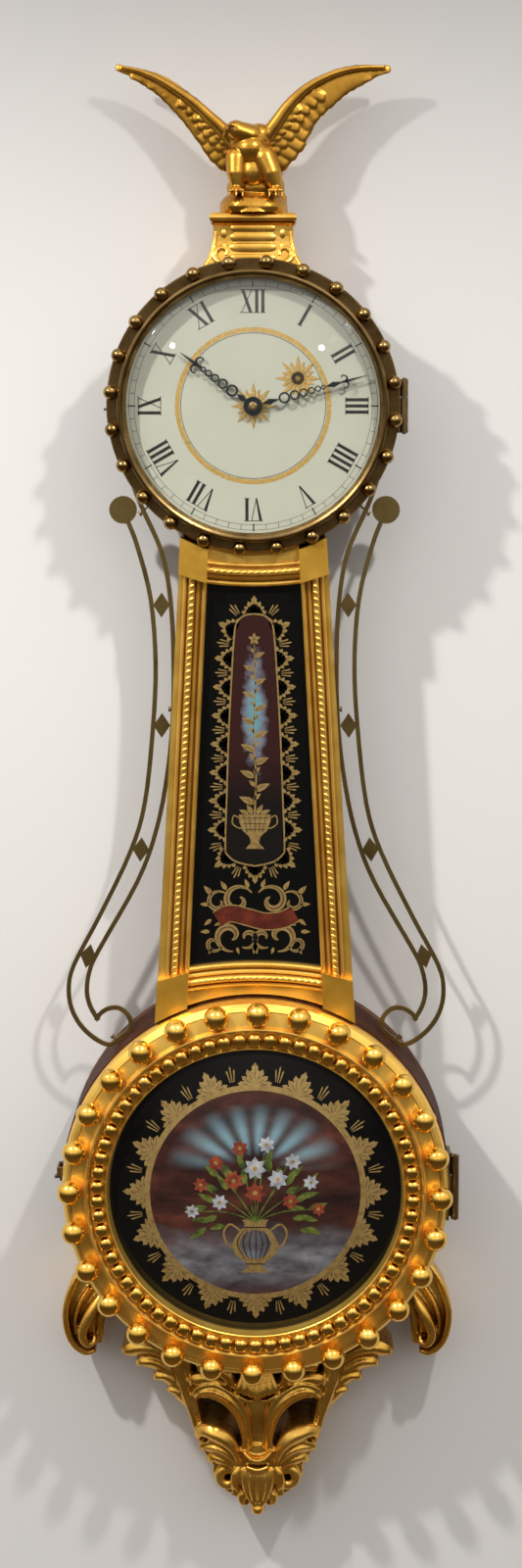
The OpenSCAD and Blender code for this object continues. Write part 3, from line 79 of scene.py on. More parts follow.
def clear_where(shader, share, tint=(1, 1, 1)):
    """Lets a material be seen through by a share, which is a pattern."""
    tree = shader.id_data
    clear = node(tree, "BsdfTransparent", {"Color": (*tint, 1)})
    mixed = node(tree, "MixShader", {0: share, 1: shader.outputs[0], 2: clear.outputs[0]})
    tree.links.new(mixed.outputs[0], tree.nodes["Material Output"].inputs["Surface"])


def stand(name, data):
    """Puts a mesh, a lamp or a camera in the scene."""
    made = bpy.data.objects.new(name, data)
    bpy.context.collection.objects.link(made)
    return made


wall_paint, shader, place = new_finish("wall_paint", (0.80, 0.795, 0.785), 0.9)
shader.inputs["Specular IOR Level"].default_value = 0.1
clear_where(shader, node(place.id_data, "NewGeometry").outputs["Backfacing"])

wall_mesh = bpy.data.meshes.new("wall")
wall_mesh.from_pydata([(-4, 0.002, -4), (4, 0.002, -4), (4, 0.002, 4), (-4, 0.002, 4)], [], [(0, 1, 2, 3)])
wall_mesh.materials.append(wall_paint)
stand("wall", wall_mesh)

aim = spot(0, 0, -1500)
for name, place, power, size in (
    ("lamp_left", spot(-850, 925, 845), 78, 0.035),
    ("lamp_right", spot(525, 925, 835), 43, 0.035),
    ("far_lamp_left", spot(-1132, 2815, 694), 4, 0.04),
    ("far_lamp_right", spot(843, 2913, 676), 4, 0.04),
):
    light = bpy.data.lights.new(name, "SPOT")
    light.shadow_soft_size = size
    light.spot_size = math.radians(92)
    light.spot_blend = 1.0
    light.energy = power
    light.color = (1.0, 0.97, 0.93)
    lamp = stand(name, light)
    lamp.location = place
    lamp.rotation_euler = (aim - place).to_track_quat("-Z", "Y").to_euler()

world = bpy.data.worlds.new("room")
bpy.context.scene.world = world
world.use_nodes = True
tree = world.node_tree
height = node(tree, "SeparateXYZ", {0: node(tree, "TexCoord").outputs["Generated"]})
shade = node(tree, "ValToRGB", {0: node(tree, "MapRange", {0: height.outputs["Z"], 1: -1.0}).outputs[0]})
shade.color_ramp.elements[0].color = (0.13, 0.085, 0.05, 1)
shade.color_ramp.elements[1].color = (1.10, 1.10, 1.10, 1)
for level, grey, warm in ((0.43, 0.06, 0.32), (0.53, 0.24, 0.24), (0.66, 0.86, 0.06), (0.80, 1.10, 0.02)):
    step = shade.color_ramp.elements.new(level)
    step.color = (grey, grey * (1 - warm / 2), grey * (1 - warm), 1)
tree.links.new(shade.outputs[0], tree.nodes["Background"].inputs["Color"])

eye = bpy.data.cameras.new("photo_camera")
eye.sensor_width = 36
eye.lens = 59.6
eye.shift_x = -0.0366
eye.shift_y = -0.075
camera = stand("photo_camera", eye)
camera.location = (0.050, -2.071, -0.0182)
camera.rotation_euler = (math.radians(90 - 7.7), 0, 0)
bpy.context.scene.camera = camera
bpy.context.scene.view_settings.view_transform = "Standard"


# Case of dark mahogany over a pine back.
# The round head and the round box are turned rings; the throat has flat sides; all of it is glued and nailed.


def blotches(place, scale, detail=4.0, stretch=(1, 1, 1), rough=0.55):
    """Cloudy noise from 0 to 1, stretched along an axis where the real pattern is."""
    spread = node(place.id_data, "Mapping", {"Vector": place, "Scale": stretch})
    return node(place.id_data, "TexNoise", {"Vector": spread.outputs[0], "Scale": scale, "Detail": detail,
                                            "Roughness": rough}).outputs["Fac"]


def tones(factor, *stops):
    """Colours by how high a factor is: pairs of a level and a colour."""
    ramp = node(factor.id_data, "ValToRGB", {0: factor})
    for index, (level, colour) in enumerate(stops):
        step = ramp.color_ramp.elements[index] if index < 2 else ramp.color_ramp.elements.new(level)
        step.position = level
        step.color = (*colour, 1)
    return ramp.outputs["Color"]


def levels(factor, low, high, start=0.0, end=1.0):
    """Maps a factor's range from start to end to the values low to high."""
    return node(factor.id_data, "MapRange", {0: factor, 1: start, 2: end, 3: low, 4: high}).outputs[0]


def mix(factor, one, two):
    """Mixes two colours or patterns by a factor; one of the three at least is a pattern."""
    tree = next(v for v in (factor, one, two) if isinstance(v, bpy.types.NodeSocket)).id_data
    return node(tree, "MixRGB", {0: factor, 1: one, 2: two}).outputs[0]


def feed(shader, pattern, name="Base Color"):
    """Links a pattern to one of a shader's sockets."""
    shader.id_data.links.new(pattern, shader.inputs[name])


def bumps(shader, height, depth, strength=1.0):
    """Turns a height pattern into relief, with its depth in metres."""
    relief = node(shader.id_data, "Bump", {"Height": height, "Distance": depth, "Strength": strength})
    feed(shader, relief.outputs[0], "Normal")


def varnish(shader, weight, rough=0.03):
    """Lays a clear coat over a finish."""
    shader.inputs["Coat Weight"].default_value = weight
    shader.inputs["Coat Roughness"].default_value = rough


def wood(name, dark, mid, light, rough, polish):
    """Timber with rings and pores drawn out along its height."""
    finish, shader, place = new_finish(name, mid, rough)
    rings = blotches(place, 26, 6, (6, 6, 0.5))
    pores = blotches(place, 240, 3, (5, 5, 0.25), 0.7)
    feed(shader, tones(mix(0.35, rings, pores), (0.32, dark), (0.68, light), (0.5, mid)))
    shader.inputs["Specular IOR Level"].default_value = 0.04
    varnish(shader, polish, 0.12)
    bumps(shader, pores, 0.0002, 0.25)
    return finish


def wears(finish, *names):
    """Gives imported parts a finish."""
    for name in names:
        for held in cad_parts[name].material_slots:
            held.material = finish


mahogany = wood("mahogany", (0.018, 0.0055, 0.0028), (0.050, 0.014, 0.0055), (0.094, 0.027, 0.010), 0.50, 0.02)
pine = wood("stained_pine", (0.07, 0.032, 0.018), (0.13, 0.06, 0.032), (0.20, 0.10, 0.055), 0.6, 0.0)
wears(mahogany, "head_ring", "drum_ring", "throat_sides")
wears(pine, "back_board")


# Gilding: gold leaf laid on red clay over carved wood, burnished, with painted shade, a dark brown, in the hollows.
# It covers the throat's frame, the round door, the plinth and all carving.


def gilding(name, gold, rubbed, hollow_shade, rough, metal):
    """Gold leaf, rubbed paler in clouds, with painted shade: a darker colour where ambient occlusion finds the form
    hollow.
    """
    finish, shader, place = new_finish(name, gold, rough, metal)
    cloud = blotches(place, 45, 5)
    # Painted shade: ambient occlusion blends the gold toward the hollow_shade colour in creases and hollows.
    shade_in_hollows = node(place.id_data, "AmbientOcclusion", {"Distance": 0.007}, samples=6, only_local=True).outputs["AO"]
    leaf = mix(levels(cloud, 0.0, 1.0, 0.3, 0.7), (*gold, 1), (*rubbed, 1))
    feed(shader, mix(levels(shade_in_hollows, 0.0, 1.0, 0.25, 0.80), (*hollow_shade, 1), leaf))
    feed(shader, levels(cloud, rough - 0.05, rough + 0.07, 0.3, 0.7), "Roughness")
    bumps(shader, mix(0.25, cloud, blotches(place, 700, 3)), 0.0003, 0.35)
    return finish


gilt = gilding("satin_gilding", (0.95, 0.54, 0.09), (1.0, 0.66, 0.14), (0.42, 0.16, 0.014), 0.33, 0.82)
block_gilt = gilding("plain_gilding", (0.88, 0.47, 0.05), (0.95, 0.56, 0.08), (0.36, 0.13, 0.010), 0.36, 0.80)
ball_gilt = gilding("burnished_gilding", (0.86, 0.48, 0.07), (0.95, 0.61, 0.13), (0.46, 0.18, 0.016), 0.17, 1.0)
carved_gilt = gilding("carved_gilding", (0.74, 0.38, 0.05), (0.96, 0.58, 0.12), (0.17, 0.055, 0.006), 0.26, 0.92)
# The eagle's gilding is a darker copy of the carved gilding: painted shade, for an eagle lit only from above.
eagle_shaded_gilt = gilding("eagle_gilding_painted_shade", (0.50, 0.235, 0.028), (0.70, 0.38, 0.06), (0.17, 0.055, 0.005), 0.28, 0.94)
wears(gilt, "side_rails", "cross_rails", "door_ring")
wears(block_gilt, "corner_blocks")
wears(ball_gilt, "door_balls", "door_beads")
wears(carved_gilt, "finial_plinth", "bracket", "ears")
wears(eagle_shaded_gilt, "eagle")


# Brass: the bezel is old dark lacquered brass, turned; side arms, hinges and buttons are thinner sheet and rod.
# The movement inside is bright brass, and its steel is plain.


def brass(name, colour, pale, dark, rough, scale=60):
    """A metal with stains that are also duller."""
    finish, shader, place = new_finish(name, colour, rough, 1.0)
    stain = blotches(place, scale, 6)
    feed(shader, tones(stain, (0.28, dark), (0.75, pale), (0.5, colour)))
    feed(shader, levels(stain, rough + 0.08, rough - 0.05, 0.3, 0.7), "Roughness")
    bumps(shader, blotches(place, 1400, 2), 0.0001, 0.2)
    return finish


bezel_brass = brass("aged_bezel_brass", (0.20, 0.125, 0.045), (0.33, 0.215, 0.085), (0.10, 0.058, 0.020), 0.30)
ball_brass = brass("ball_brass", (0.33, 0.205, 0.065), (0.46, 0.30, 0.11), (0.18, 0.10, 0.03), 0.16)
arm_brass = brass("sheet_brass", (0.42, 0.31, 0.115), (0.60, 0.46, 0.20), (0.22, 0.155, 0.055), 0.32, 35)
fitting_brass = brass("fitting_brass", (0.24, 0.17, 0.08), (0.36, 0.26, 0.12), (0.13, 0.09, 0.04), 0.42)
clock_brass = brass("clock_brass", (0.72, 0.52, 0.20), (0.82, 0.62, 0.28), (0.58, 0.40, 0.13), 0.28)
plain_steel = brass("plain_steel", (0.30, 0.30, 0.31), (0.40, 0.40, 0.40), (0.20, 0.20, 0.21), 0.36)
dark_iron = brass("dark_iron", (0.055, 0.052, 0.05), (0.09, 0.085, 0.08), (0.03, 0.03, 0.03), 0.6)
blued_steel = brass("blued_steel", (0.045, 0.058, 0.070), (0.10, 0.125, 0.135), (0.02, 0.027, 0.038), 0.30, 120)
tinned = brass("tinned_iron", (0.50, 0.50, 0.49), (0.60, 0.60, 0.59), (0.38, 0.38, 0.37), 0.35)
wears(bezel_brass, "bezel_ring")
wears(ball_brass, "bezel_balls")
wears(arm_brass, "sidearms")
wears(fitting_brass, "hinge_fixed_leaves", "bezel_leaf", "door_leaf", "bezel_fixings", "door_fixings",
      "bezel_button", "door_button", "dial_screws", "sidearm_pins", "hand_collet")
wears(clock_brass, "back_plate", "front_plate", "plate_pillars", "suspension_cock", "centre_arbor",
      "cannon_pinion", "hour_wheel", "minute_wheel", "great_wheel", "winding_drum", "third_wheel",
      "escape_wheel", "pendulum_rod", "pendulum_bob", "rating_nut", "weight_pulley")
wears(plain_steel, "hanger_plate", "wood_screws", "click", "verge", "suspension_spring")
wears(dark_iron, "weight")
wears(blued_steel, "minute_hand", "hour_hand")
wears(tinned, "weight_guard", "tablet_clips")

gut, shader, place = new_finish("gut_cord", (0.52, 0.42, 0.26), 0.55)
strands = node(place.id_data, "TexWave", {"Vector": place, "Scale": 700.0, "Distortion": 1.0},
               bands_direction="DIAGONAL").outputs["Fac"]
feed(shader, tones(strands, (0.1, (0.34, 0.26, 0.15)), (0.9, (0.60, 0.50, 0.33))))
bumps(shader, strands, 0.0002)
wears(gut, "weight_cord")


# Dial glass: a blown dome of clear glass, held in the bezel by four clips.
# Lamps shine through it, so its shadow is that of clear glass.


def maths(how, one, two=0.5):
    """A number made from one pattern, or from two."""
    return node(one.id_data, "Math", {0: one, 1: two}, operation=how).outputs[0]


glass_tint = (0.97, 0.985, 0.975)
clear_glass, shader, place = new_finish("clear_glass", glass_tint, 0.015)
shader.inputs["Transmission Weight"].default_value = 1.0
shader.inputs["IOR"].default_value = 1.45
ray = node(place.id_data, "LightPath")
clear_where(shader, maths("MAXIMUM", ray.outputs["Is Shadow Ray"], ray.outputs["Is Diffuse Ray"]), glass_tint)
wears(clear_glass, "dial_glass")


def disc(radius, up=0.0, n=40):
    """The points of a circle, clockwise from its top."""
    return [(radius * math.sin(2 * math.pi * k / n), up + radius * math.cos(2 * math.pi * k / n)) for k in range(n)]


def mesh_of(bm, smooth=False):
    """Ends the building of a form, and gives its mesh."""
    mesh = bpy.data.meshes.new("form")
    bm.to_mesh(mesh)
    bm.free()
    if smooth:
        mesh.polygons.foreach_set("use_smooth", [True] * len(mesh.polygons))
    return mesh


def spun(profile, up=0.0):
    """A round about the dial's axis, or about one at a height up.

    The profile is a closed outline of radius and distance off the wall, in millimetres.
    """
    bm, n = bmesh.new(), 128
    rings = [[bm.verts.new(spot(x, out, z)) for x, z in disc(r, up, n if r else 1)] for r, out in profile]
    for one, two in zip(rings, rings[1:] + rings[:1]):
        for k in range(n):
            corners = [one[k % len(one)], one[(k + 1) % len(one)], two[(k + 1) % len(two)], two[k % len(two)]]
            corners = [c for i, c in enumerate(corners) if c not in corners[:i]]
            if len(corners) > 2:
                bm.faces.new(corners).smooth = abs(one[0].co.y - two[0].co.y) > 1e-6
    bmesh.ops.recalc_face_normals(bm, faces=bm.faces)
    return mesh_of(bm)


def piece(name, mesh, finish, body):
    """Puts a mesh in the scene as a named piece that rides on a body."""
    mesh.name = name
    mesh.materials.clear()
    mesh.materials.append(finish)
    made = stand(name, mesh)
    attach(made, body)
    return made


def dome_radius(sight, rise):
    """The radius of the ball that a dome is cut from."""
    return (sight * sight + rise * rise) / (2 * rise)


def blown_glass(sight, seat, rise):
    """The outline of a domed glass with a flat edge: rings from the edge to the middle and back."""
    big, thick, lap, rings = dome_radius(sight, rise), 2, 3.7, 24
    skin = [(sight * k / rings, seat + rise - big + math.sqrt(big * big - (sight * k / rings) ** 2))
            for k in range(rings, -1, -1)]
    back = [(r, out - thick) for r, out in reversed(skin)]
    return [(sight + lap, seat)] + skin + back + [(sight + lap, seat - thick)]


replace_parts(piece("dial_glass_dome", spun(blown_glass(96.5, 80, 12)), clear_glass, "bezel"), "dial_glass")


# Dial: a sheet iron disc painted pale green-grey, with black numbers, a gold ring and two gold suns.
# The numbers stand with their feet to the middle; the minutes are a ladder between two thin lines.


def dabbed(name, colour, rough, pattern, *stops, gloss=0.0):
    """Paint whose tones follow cloudy noise of a scale and a detail."""
    finish, shader, place = new_finish(name, colour, rough)
    feed(shader, tones(blotches(place, *pattern), *stops))
    varnish(shader, gloss)
    return finish, shader, place


dial_paint, shader, place = dabbed("dial_paint", (0.56, 0.555, 0.465), 0.42, (14, 5),
                                   (0.3, (0.525, 0.52, 0.43)), (0.7, (0.59, 0.585, 0.495)))
bumps(shader, blotches(place, 500, 3), 0.0001, 0.15)
wears(dial_paint, "dial_plate")
# Black paint for the numbers, strokes and eyes, also used for the painted shadows under the suns and behind the
# bracket's eyes.
ink_and_painted_shadow = dabbed("black_paint_and_painted_shadow", (0.012, 0.012, 0.013), 0.35, (300, 3),
             (0.3, (0.008, 0.008, 0.009)), (0.75, (0.035, 0.035, 0.034)))[0]


def leaf_gold(name, bright, dull, scale):
    """Gold leaf on paint or behind glass, with fine dark strokes worn through it."""
    finish, shader, place = new_finish(name, bright, 0.3, 0.55)
    worn = blotches(place, scale, 6, rough=0.7)
    feed(shader, tones(worn, (0.36, dull), (0.58, bright)))
    feed(shader, levels(worn, 0.5, 0.24, 0.3, 0.6), "Roughness")
    varnish(shader, 0.6, 0.04)
    return finish


dial_gold = leaf_gold("dial_gold", (0.90, 0.60, 0.20), (0.62, 0.36, 0.09), 160)


def flat_mesh(shapes, out):
    """A mesh of flat shapes, each a closed outline of (across, up) in millimetres, facing the room."""
    bm = bmesh.new()
    for shape in shapes:
        face = bm.faces.new([bm.verts.new(spot(x, out, z)) for x, z in shape])
        face.normal_update()
        if face.normal.y > 0:
            face.normal_flip()
    bmesh.ops.triangulate(bm, faces=[f for f in bm.faces if len(f.verts) > 4])
    return mesh_of(bm)


def moved(shapes, across=0.0, up=0.0, turn=0.0, size=1.0):
    """Shapes turned clockwise by turn degrees, sized and then moved."""
    c, s = math.cos(math.radians(turn)) * size, math.sin(math.radians(turn)) * size
    return [[(across + x * c + z * s, up + z * c - x * s) for x, z in shape] for shape in shapes]


def band(inner, outer, n=180, centre=(0, 0)):
    """A flat ring as quads."""
    shapes = []
    for k in range(n):
        a, b = 2 * math.pi * k / n, 2 * math.pi * (k + 1) / n
        shapes.append([(centre[0] + r * math.sin(t), centre[1] + r * math.cos(t))
                       for r, t in ((inner, a), (outer, a), (outer, b), (inner, b))])
    return shapes


def bar(w, low, high):
    """An upright oblong about the middle, from one height to another."""
    return [(-w / 2, low), (w / 2, low), (w / 2, high), (-w / 2, high)]


def number_strokes(text, tall=17.8, thick=2.5, thin=0.65, serif=0.6):
    """The strokes of a Roman number about its middle, from its feet up."""
    wide = {"I": 4.7, "V": 10.2, "X": 10.6}
    made, x = [], -sum(wide[c] for c in text) / 2
    for c in text:
        w = wide[c]
        m = w / 2
        legs = {"I": ((m - thick / 2, m + thick / 2, m - thick / 2, m + thick / 2),),
                "V": ((m - 0.4, m + 0.7, 0.6, thick + 0.6), (m - 0.2, m + 0.4, w - 0.8 - thin, w - 0.8)),
                "X": ((w - 0.9 - thick, w - 0.9, 0.9, thick + 0.9), (0.9, 0.9 + thin, w - 0.9 - thin, w - 0.9))}
        strokes = [[(a, 0), (b, 0), (e, tall), (d, tall)] for a, b, d, e in legs[c]]
        for z in (tall - serif,) if c == "V" else (0, tall - serif):
            strokes += moved([bar(w - 0.5, z, z + serif)], m)
        made += moved(strokes, x)
        x += w
    return made


dial_face, number_foot = 71, 70.6
ink_shapes = []
for hour, text in enumerate(("XII", "I", "II", "III", "IIII", "V", "VI", "VII", "VIII", "IX", "X", "XI")):
    ink_shapes += moved(moved(number_strokes(text), up=number_foot), turn=30 * hour)
ink_shapes += band(91.0, 91.3) + band(95.2, 95.5) + band(55.3, 55.75)
piece("dial_numbers", flat_mesh(ink_shapes, dial_face + 0.07), ink_and_painted_shadow, "case")


def follow_tree():
    """Sets copies of a motif along a line, each turned to it."""
    tree = bpy.data.node_groups.new("motifs_along_a_line", "GeometryNodeTree")
    for name, kind in (("Line", "Geometry"), ("Motif", "Object"), ("How many", "Int")):
        tree.interface.new_socket(name, in_out="INPUT", socket_type="NodeSocket" + kind)
    tree.interface.new_socket("Trim", in_out="OUTPUT", socket_type="NodeSocketGeometry")
    given, out, curve, spaced, along, turn, motif, copies, real = (tree.nodes.new(kind) for kind in (
        "NodeGroupInput", "NodeGroupOutput", "GeometryNodeMeshToCurve", "GeometryNodeResampleCurve",
        "GeometryNodeInputTangent", "FunctionNodeAlignRotationToVector", "GeometryNodeObjectInfo",
        "GeometryNodeInstanceOnPoints", "GeometryNodeRealizeInstances"))
    turn.axis, turn.pivot_axis = "X", "Y"
    for a, b in (
        (given.outputs["Line"], curve.inputs["Mesh"]),
        (curve.outputs[0], spaced.inputs["Curve"]),
        (given.outputs["How many"], spaced.inputs["Count"]),
        (given.outputs["Motif"], motif.inputs["Object"]),
        (spaced.outputs[0], copies.inputs["Points"]),
        (motif.outputs["Geometry"], copies.inputs["Instance"]),
        (along.outputs[0], turn.inputs["Vector"]),
        (turn.outputs[0], copies.inputs["Rotation"]),
        (copies.outputs[0], real.inputs[0]),
        (real.outputs[0], out.inputs[0]),
    ):
        tree.links.new(a, b)
    return tree


along_line = follow_tree()


def trim(line, out, motif_mesh, count, closed=True):
    """A mesh of count motifs along a line of (across, up) in millimetres, at a distance off the wall."""
    path = bpy.data.meshes.new("line")
    links = [(k, k + 1) for k in range(len(line) - 1)] + ([(len(line) - 1, 0)] if closed else [])
    path.from_pydata([spot(x, out, z) for x, z in line], links, [])
    carrier, motif = stand("carrier", path), stand("motif", motif_mesh)
    change = carrier.modifiers.new("trim", "NODES")
    change.node_group = along_line
    sockets = {s.name: s.identifier for s in along_line.interface.items_tree if s.in_out == "INPUT"}
    change[sockets["Motif"]] = motif
    change[sockets["How many"]] = count
    seen = carrier.evaluated_get(bpy.context.evaluated_depsgraph_get())
    mesh = bpy.data.meshes.new_from_object(seen)
    for made in (carrier, motif):
        bpy.data.objects.remove(made)
    return mesh


def motif_of(shapes):
    """Flat shapes of a motif about its own foot, for trim()."""
    return flat_mesh(moved(shapes, up=dial_down), 0)


for name, count, foot, out, wide, long in (("minute_ticks", 60, 91.1, dial_face + 0.07, 0.4, 4.2),
                                           ("five_minute_ticks", 12, 90.2, dial_face + 0.08, 1.0, 6.0)):
    piece(name, trim(disc(foot, n=240), out, motif_of([bar(wide, 0, long)]), count), ink_and_painted_shadow, "case")
piece("dial_gold_ring", flat_mesh(band(56.3, 59.9), dial_face + 0.06), dial_gold, "case")


def sun(centre, n=16):
    """Straight and waved rays about a bore, each widest a third of the way out."""
    rays, foot = [], 5.6
    for k in range(n):
        long, sides = 17.4 if k % 2 == 0 else 13.6, []
        for step in range(7):
            t = step / 6
            bend = 0.0 if k % 2 == 0 else 0.7 * math.sin(2 * math.pi * t)
            sides.append((foot + (long - foot) * t, bend, 1.5 * math.sin(math.pi * (0.22 + 0.78 * t)) + 0.02))
        rays += moved([[(b0 - w0, r0), (b0 + w0, r0), (b1 + w1, r1), (b1 - w1, r1)]
                       for (r0, b0, w0), (r1, b1, w1) in zip(sides, sides[1:])], *centre, 360 * k / n)
    return rays + band(5.0, 5.9, 48, centre)


suns = sun((0, 0)) + sun((34.2, 21))
# Painted shadow: a black copy of the suns, set a little down and to the right under them, darkens their lower right
# edges.
piece("dial_sun_edges", flat_mesh(moved(suns, 0.35, -0.3), dial_face + 0.055), ink_and_painted_shadow, "case")
piece("dial_suns", flat_mesh(suns, dial_face + 0.075), dial_gold, "case")


def pearl(along, across, out, twist=0.0, fine=3):
    """An oval bead in millimetres, turned by twist degrees in the plane of its line."""
    bm = bmesh.new()
    bmesh.ops.create_icosphere(bm, subdivisions=fine, radius=0.001)
    c, s = math.cos(math.radians(twist)), math.sin(math.radians(twist))
    for v in bm.verts:
        x, y, z = v.co.x * along, v.co.y * out, v.co.z * across
        v.co = (x * c - z * s, y, x * s + z * c)
    return mesh_of(bm, True)


ball_line = moved([disc(109.4, n=24)], turn=5.6)[0]
bezel_ball_mesh = trim(ball_line, 80.3, pearl(5.5, 5.5, 5.5, fine=4), 24)
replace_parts(piece("bezel_ball_set", bezel_ball_mesh, ball_brass, "bezel"), "bezel_balls")


# Hands: cut from thin sheet steel and blued, a chain of rings with a cross bar and a long point.
# Each is pressed on its pipe; the minute hand's broad boss covers the middle.


def smooth_path(points, steps=8):
    """A smooth line through points of any number of values, with steps between two of them."""
    path = []
    for k in range(len(points) - 1):
        four = [points[min(max(k + j, 0), len(points) - 1)] for j in (-1, 0, 1, 2)]
        for step in range(steps):
            t = step / steps
            path.append(tuple(0.5 * (2 * b + (c - a) * t + (2 * a - 5 * b + 4 * c - d) * t * t
                                     + (3 * b - a - 3 * c + d) * t ** 3) for a, b, c, d in zip(*four)))
    path.append(tuple(points[-1]))
    return path


def stroke(line, widths, closed=False):
    """A line as quads; widths holds one width, or one for each point."""
    n = len(line)
    edges = []
    for k, (x, z) in enumerate(line):
        a, b = (line[k - 1], line[(k + 1) % n]) if closed else (line[max(k - 1, 0)], line[min(k + 1, n - 1)])
        run = Vector((b[0] - a[0], b[1] - a[1])).normalized()
        w = (widths if isinstance(widths, (int, float)) else widths[k]) / 2
        edges.append(((x - run.y * w, z + run.x * w), (x + run.y * w, z - run.x * w)))
    return [[p[0], q[0], q[1], p[1]] for p, q in zip(edges, edges[1:] + (edges[:1] if closed else []))]


def curved_bar(points):
    """A smooth bar through points of across, up and width."""
    path = smooth_path(points, 4)
    return stroke([p[:2] for p in path], [p[2] for p in path])


def mirrored(shapes):
    """Shapes and their images on the other side of the middle."""
    return shapes + [[(-x, z) for x, z in reversed(shape)] for shape in shapes]


def cut_sheet(shapes, clock_turn, out, thick=1.0):
    """Flat shapes as sheet metal, turned to an hour."""
    bm = bmesh.new()
    for shape in moved(shapes, turn=clock_turn):
        rings = [[bm.verts.new(spot(x, o, z)) for x, z in shape] for o in (out, out + thick)]
        bm.faces.new(rings[0])
        bm.faces.new(rings[1])
        for k in range(len(shape)):
            j = (k + 1) % len(shape)
            bm.faces.new((rings[0][k], rings[0][j], rings[1][j], rings[1][k]))
    bmesh.ops.recalc_face_normals(bm, faces=bm.faces)
    return mesh_of(bm)


def ring_chain(start, *sizes):
    """Rings that touch in a row, from the first's near edge; returns them and where they end."""
    rings = []
    for outer, wall in sizes:
        start += outer
        rings += band(outer - wall, outer, 32, (0, start))
        start += outer
    return rings, start


def point_of(low, high, half):
    """A slim lozenge from one height to another."""
    return [[(0, low), (half, low + 0.45 * (high - low)), (0, high), (-half, low + 0.45 * (high - low))]]


hour_turn, minute_turn = 306.25, 75
hour_out, minute_out = 73.5, 76.0
rings, end = ring_chain(15.2, (4.7, 1.7), (4.0, 1.5), (3.3, 1.3), (2.8, 1.15), (2.3, 1.0))
hour_shapes = band(3.3, 6.6, 40) + point_of(5.6, 16.0, 2.5) + rings + [disc(1.3, end + 0.7), disc(1.6, 53.6)]
hour_shapes += mirrored(curved_bar([(0, 53.2, 2.0), (2.6, 55.6, 1.7), (5.4, 54.9, 1.4), (6.7, 52.4, 1.1),
                                    (5.4, 51.0, 1.7)]))
hour_shapes += curved_bar([(0, end, 1.6), (0, 54, 2.6), (0, 62, 1.6), (0, 69, 0.25)])
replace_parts(piece("ring_hour_hand", cut_sheet(hour_shapes, hour_turn, hour_out), blued_steel, "hour"), "hour_hand")
rings, end = ring_chain(20.4, (4.4, 1.4), (3.8, 1.3), (3.3, 1.2), (2.8, 1.1), (2.4, 0.95), (1.9, 0.85))
minute_shapes = band(1.95, 7.3, 40) + point_of(6.8, 21.0, 2.4) + rings
minute_shapes += point_of(end - 0.4, 71.5, 2.2) + [disc(1.3, 73.6)]
minute_shapes += mirrored(curved_bar([(0, 73.4, 1.6), (2.0, 75.0, 1.4), (4.1, 74.2, 1.1), (5.0, 72.0, 0.9),
                                      (3.9, 70.9, 1.4)]))
minute_shapes += curved_bar([(0, 70, 1.4), (0, 75, 1.9), (0, 84, 1.1), (0, 91, 0.25)])
minute_mesh = cut_sheet(minute_shapes, minute_turn, minute_out)
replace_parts(piece("ring_minute_hand", minute_mesh, blued_steel, "centre"), "minute_hand")


# Throat frame: moulded rails mitred to plain corner blocks, all gilded.
# A rope is carved along the round of each rail; it is set out here as twisted beads.


def sight(z):
    """Half width of the throat's opening at a height under the dial's centre."""
    return 34.4 + 19.6 * (-100 - z) / 380


rope_out = 74.0


def rope(name, line, count, twist=35):
    """A gilded rope of count beads along a line."""
    piece(name, trim(line, rope_out, pearl(3.1, 2.1, 2.4, twist), count, False), gilt, "case")


for side, name in ((-1, "left"), (1, "right")):
    rope("rope_" + name, [(side * (sight(z) + 11.4), z) for z in (-133.6, -446.4)], 62, 35 * side)
for name, radius, centre, way, half, step, count in (("rope_top", 288.6, 160.5, -1, 34, 4, 14),
                                                     ("rope_foot", 318.6, -767.9, 1, 51, 6, 21)):
    angles = [math.asin(x / radius) for x in range(-half, half + 1, step)]
    rope(name, [(radius * math.sin(a), centre + way * radius * math.cos(a)) for a in angles], count)


# Throat tablet: a glass painted from behind in black, with gold leaf and colours under the black.
# A border of palmettes and darts runs round an arched field; a scroll with a bare ribbon is below it.

black_glass, shader, place = new_finish("black_painted_glass", (0.0035, 0.004, 0.004), 0.035)
shader.inputs["IOR"].default_value = 1.5
bumps(shader, blotches(place, 9, 2), 0.0006, 0.35)
wears(black_glass, "throat_tablet", "door_tablet")
glass_gold = leaf_gold("gold_behind_glass", (0.62, 0.43, 0.16), (0.34, 0.21, 0.065), 240)


def palmette(reach, half):
    """A fan of seven toothed lobes about its foot, and the dark strokes scratched in them."""
    teeth = ((0.3, 0.05), (0.95, 0.36), (0.70, 0.46), (1.0, 0.60), (0.64, 0.69), (0.72, 0.82), (0.42, 0.88),
             (0.0, 1.0))
    gold, dark = [[(-half * 0.72, -0.8), (half * 0.72, -0.8), (half * 0.42, reach * 0.36),
                   (0, reach * 0.56), (-half * 0.42, reach * 0.36)]], []
    for k in range(-3, 4):
        a = math.radians(27 * k)
        long = ((abs(math.sin(a)) / half) ** 1.25 + (math.cos(a) / reach) ** 1.25) ** -0.8
        wide = 0.17 * long + 0.5
        lobe = [(v * wide, u * long) for v, u in teeth] + [(-v * wide, u * long) for v, u in teeth[-2::-1]]
        vein = [(v, u * long) for v, u in ((0.03, 0.30), (0.26, 0.52), (0.0, 0.82), (-0.26, 0.52), (-0.03, 0.30))]
        gold += moved([lobe], turn=27 * k)
        dark += moved([vein], turn=27 * k)
    return gold, dark


def dart(reach):
    """Three slim bars that spread from one foot."""
    shapes = []
    for k in (-1, 0, 1):
        long = reach * (1 - 0.22 * abs(k))
        shapes += moved([[(-0.3, 0), (0.3, 0), (0.6, long * 0.85), (0, long), (-0.6, long * 0.85)]], 1.5 * k, 0, 9 * k)
    return shapes


def part_way(one, two, share):
    """A point between two points."""
    return tuple(a + (b - a) * share for a, b in zip(one, two))


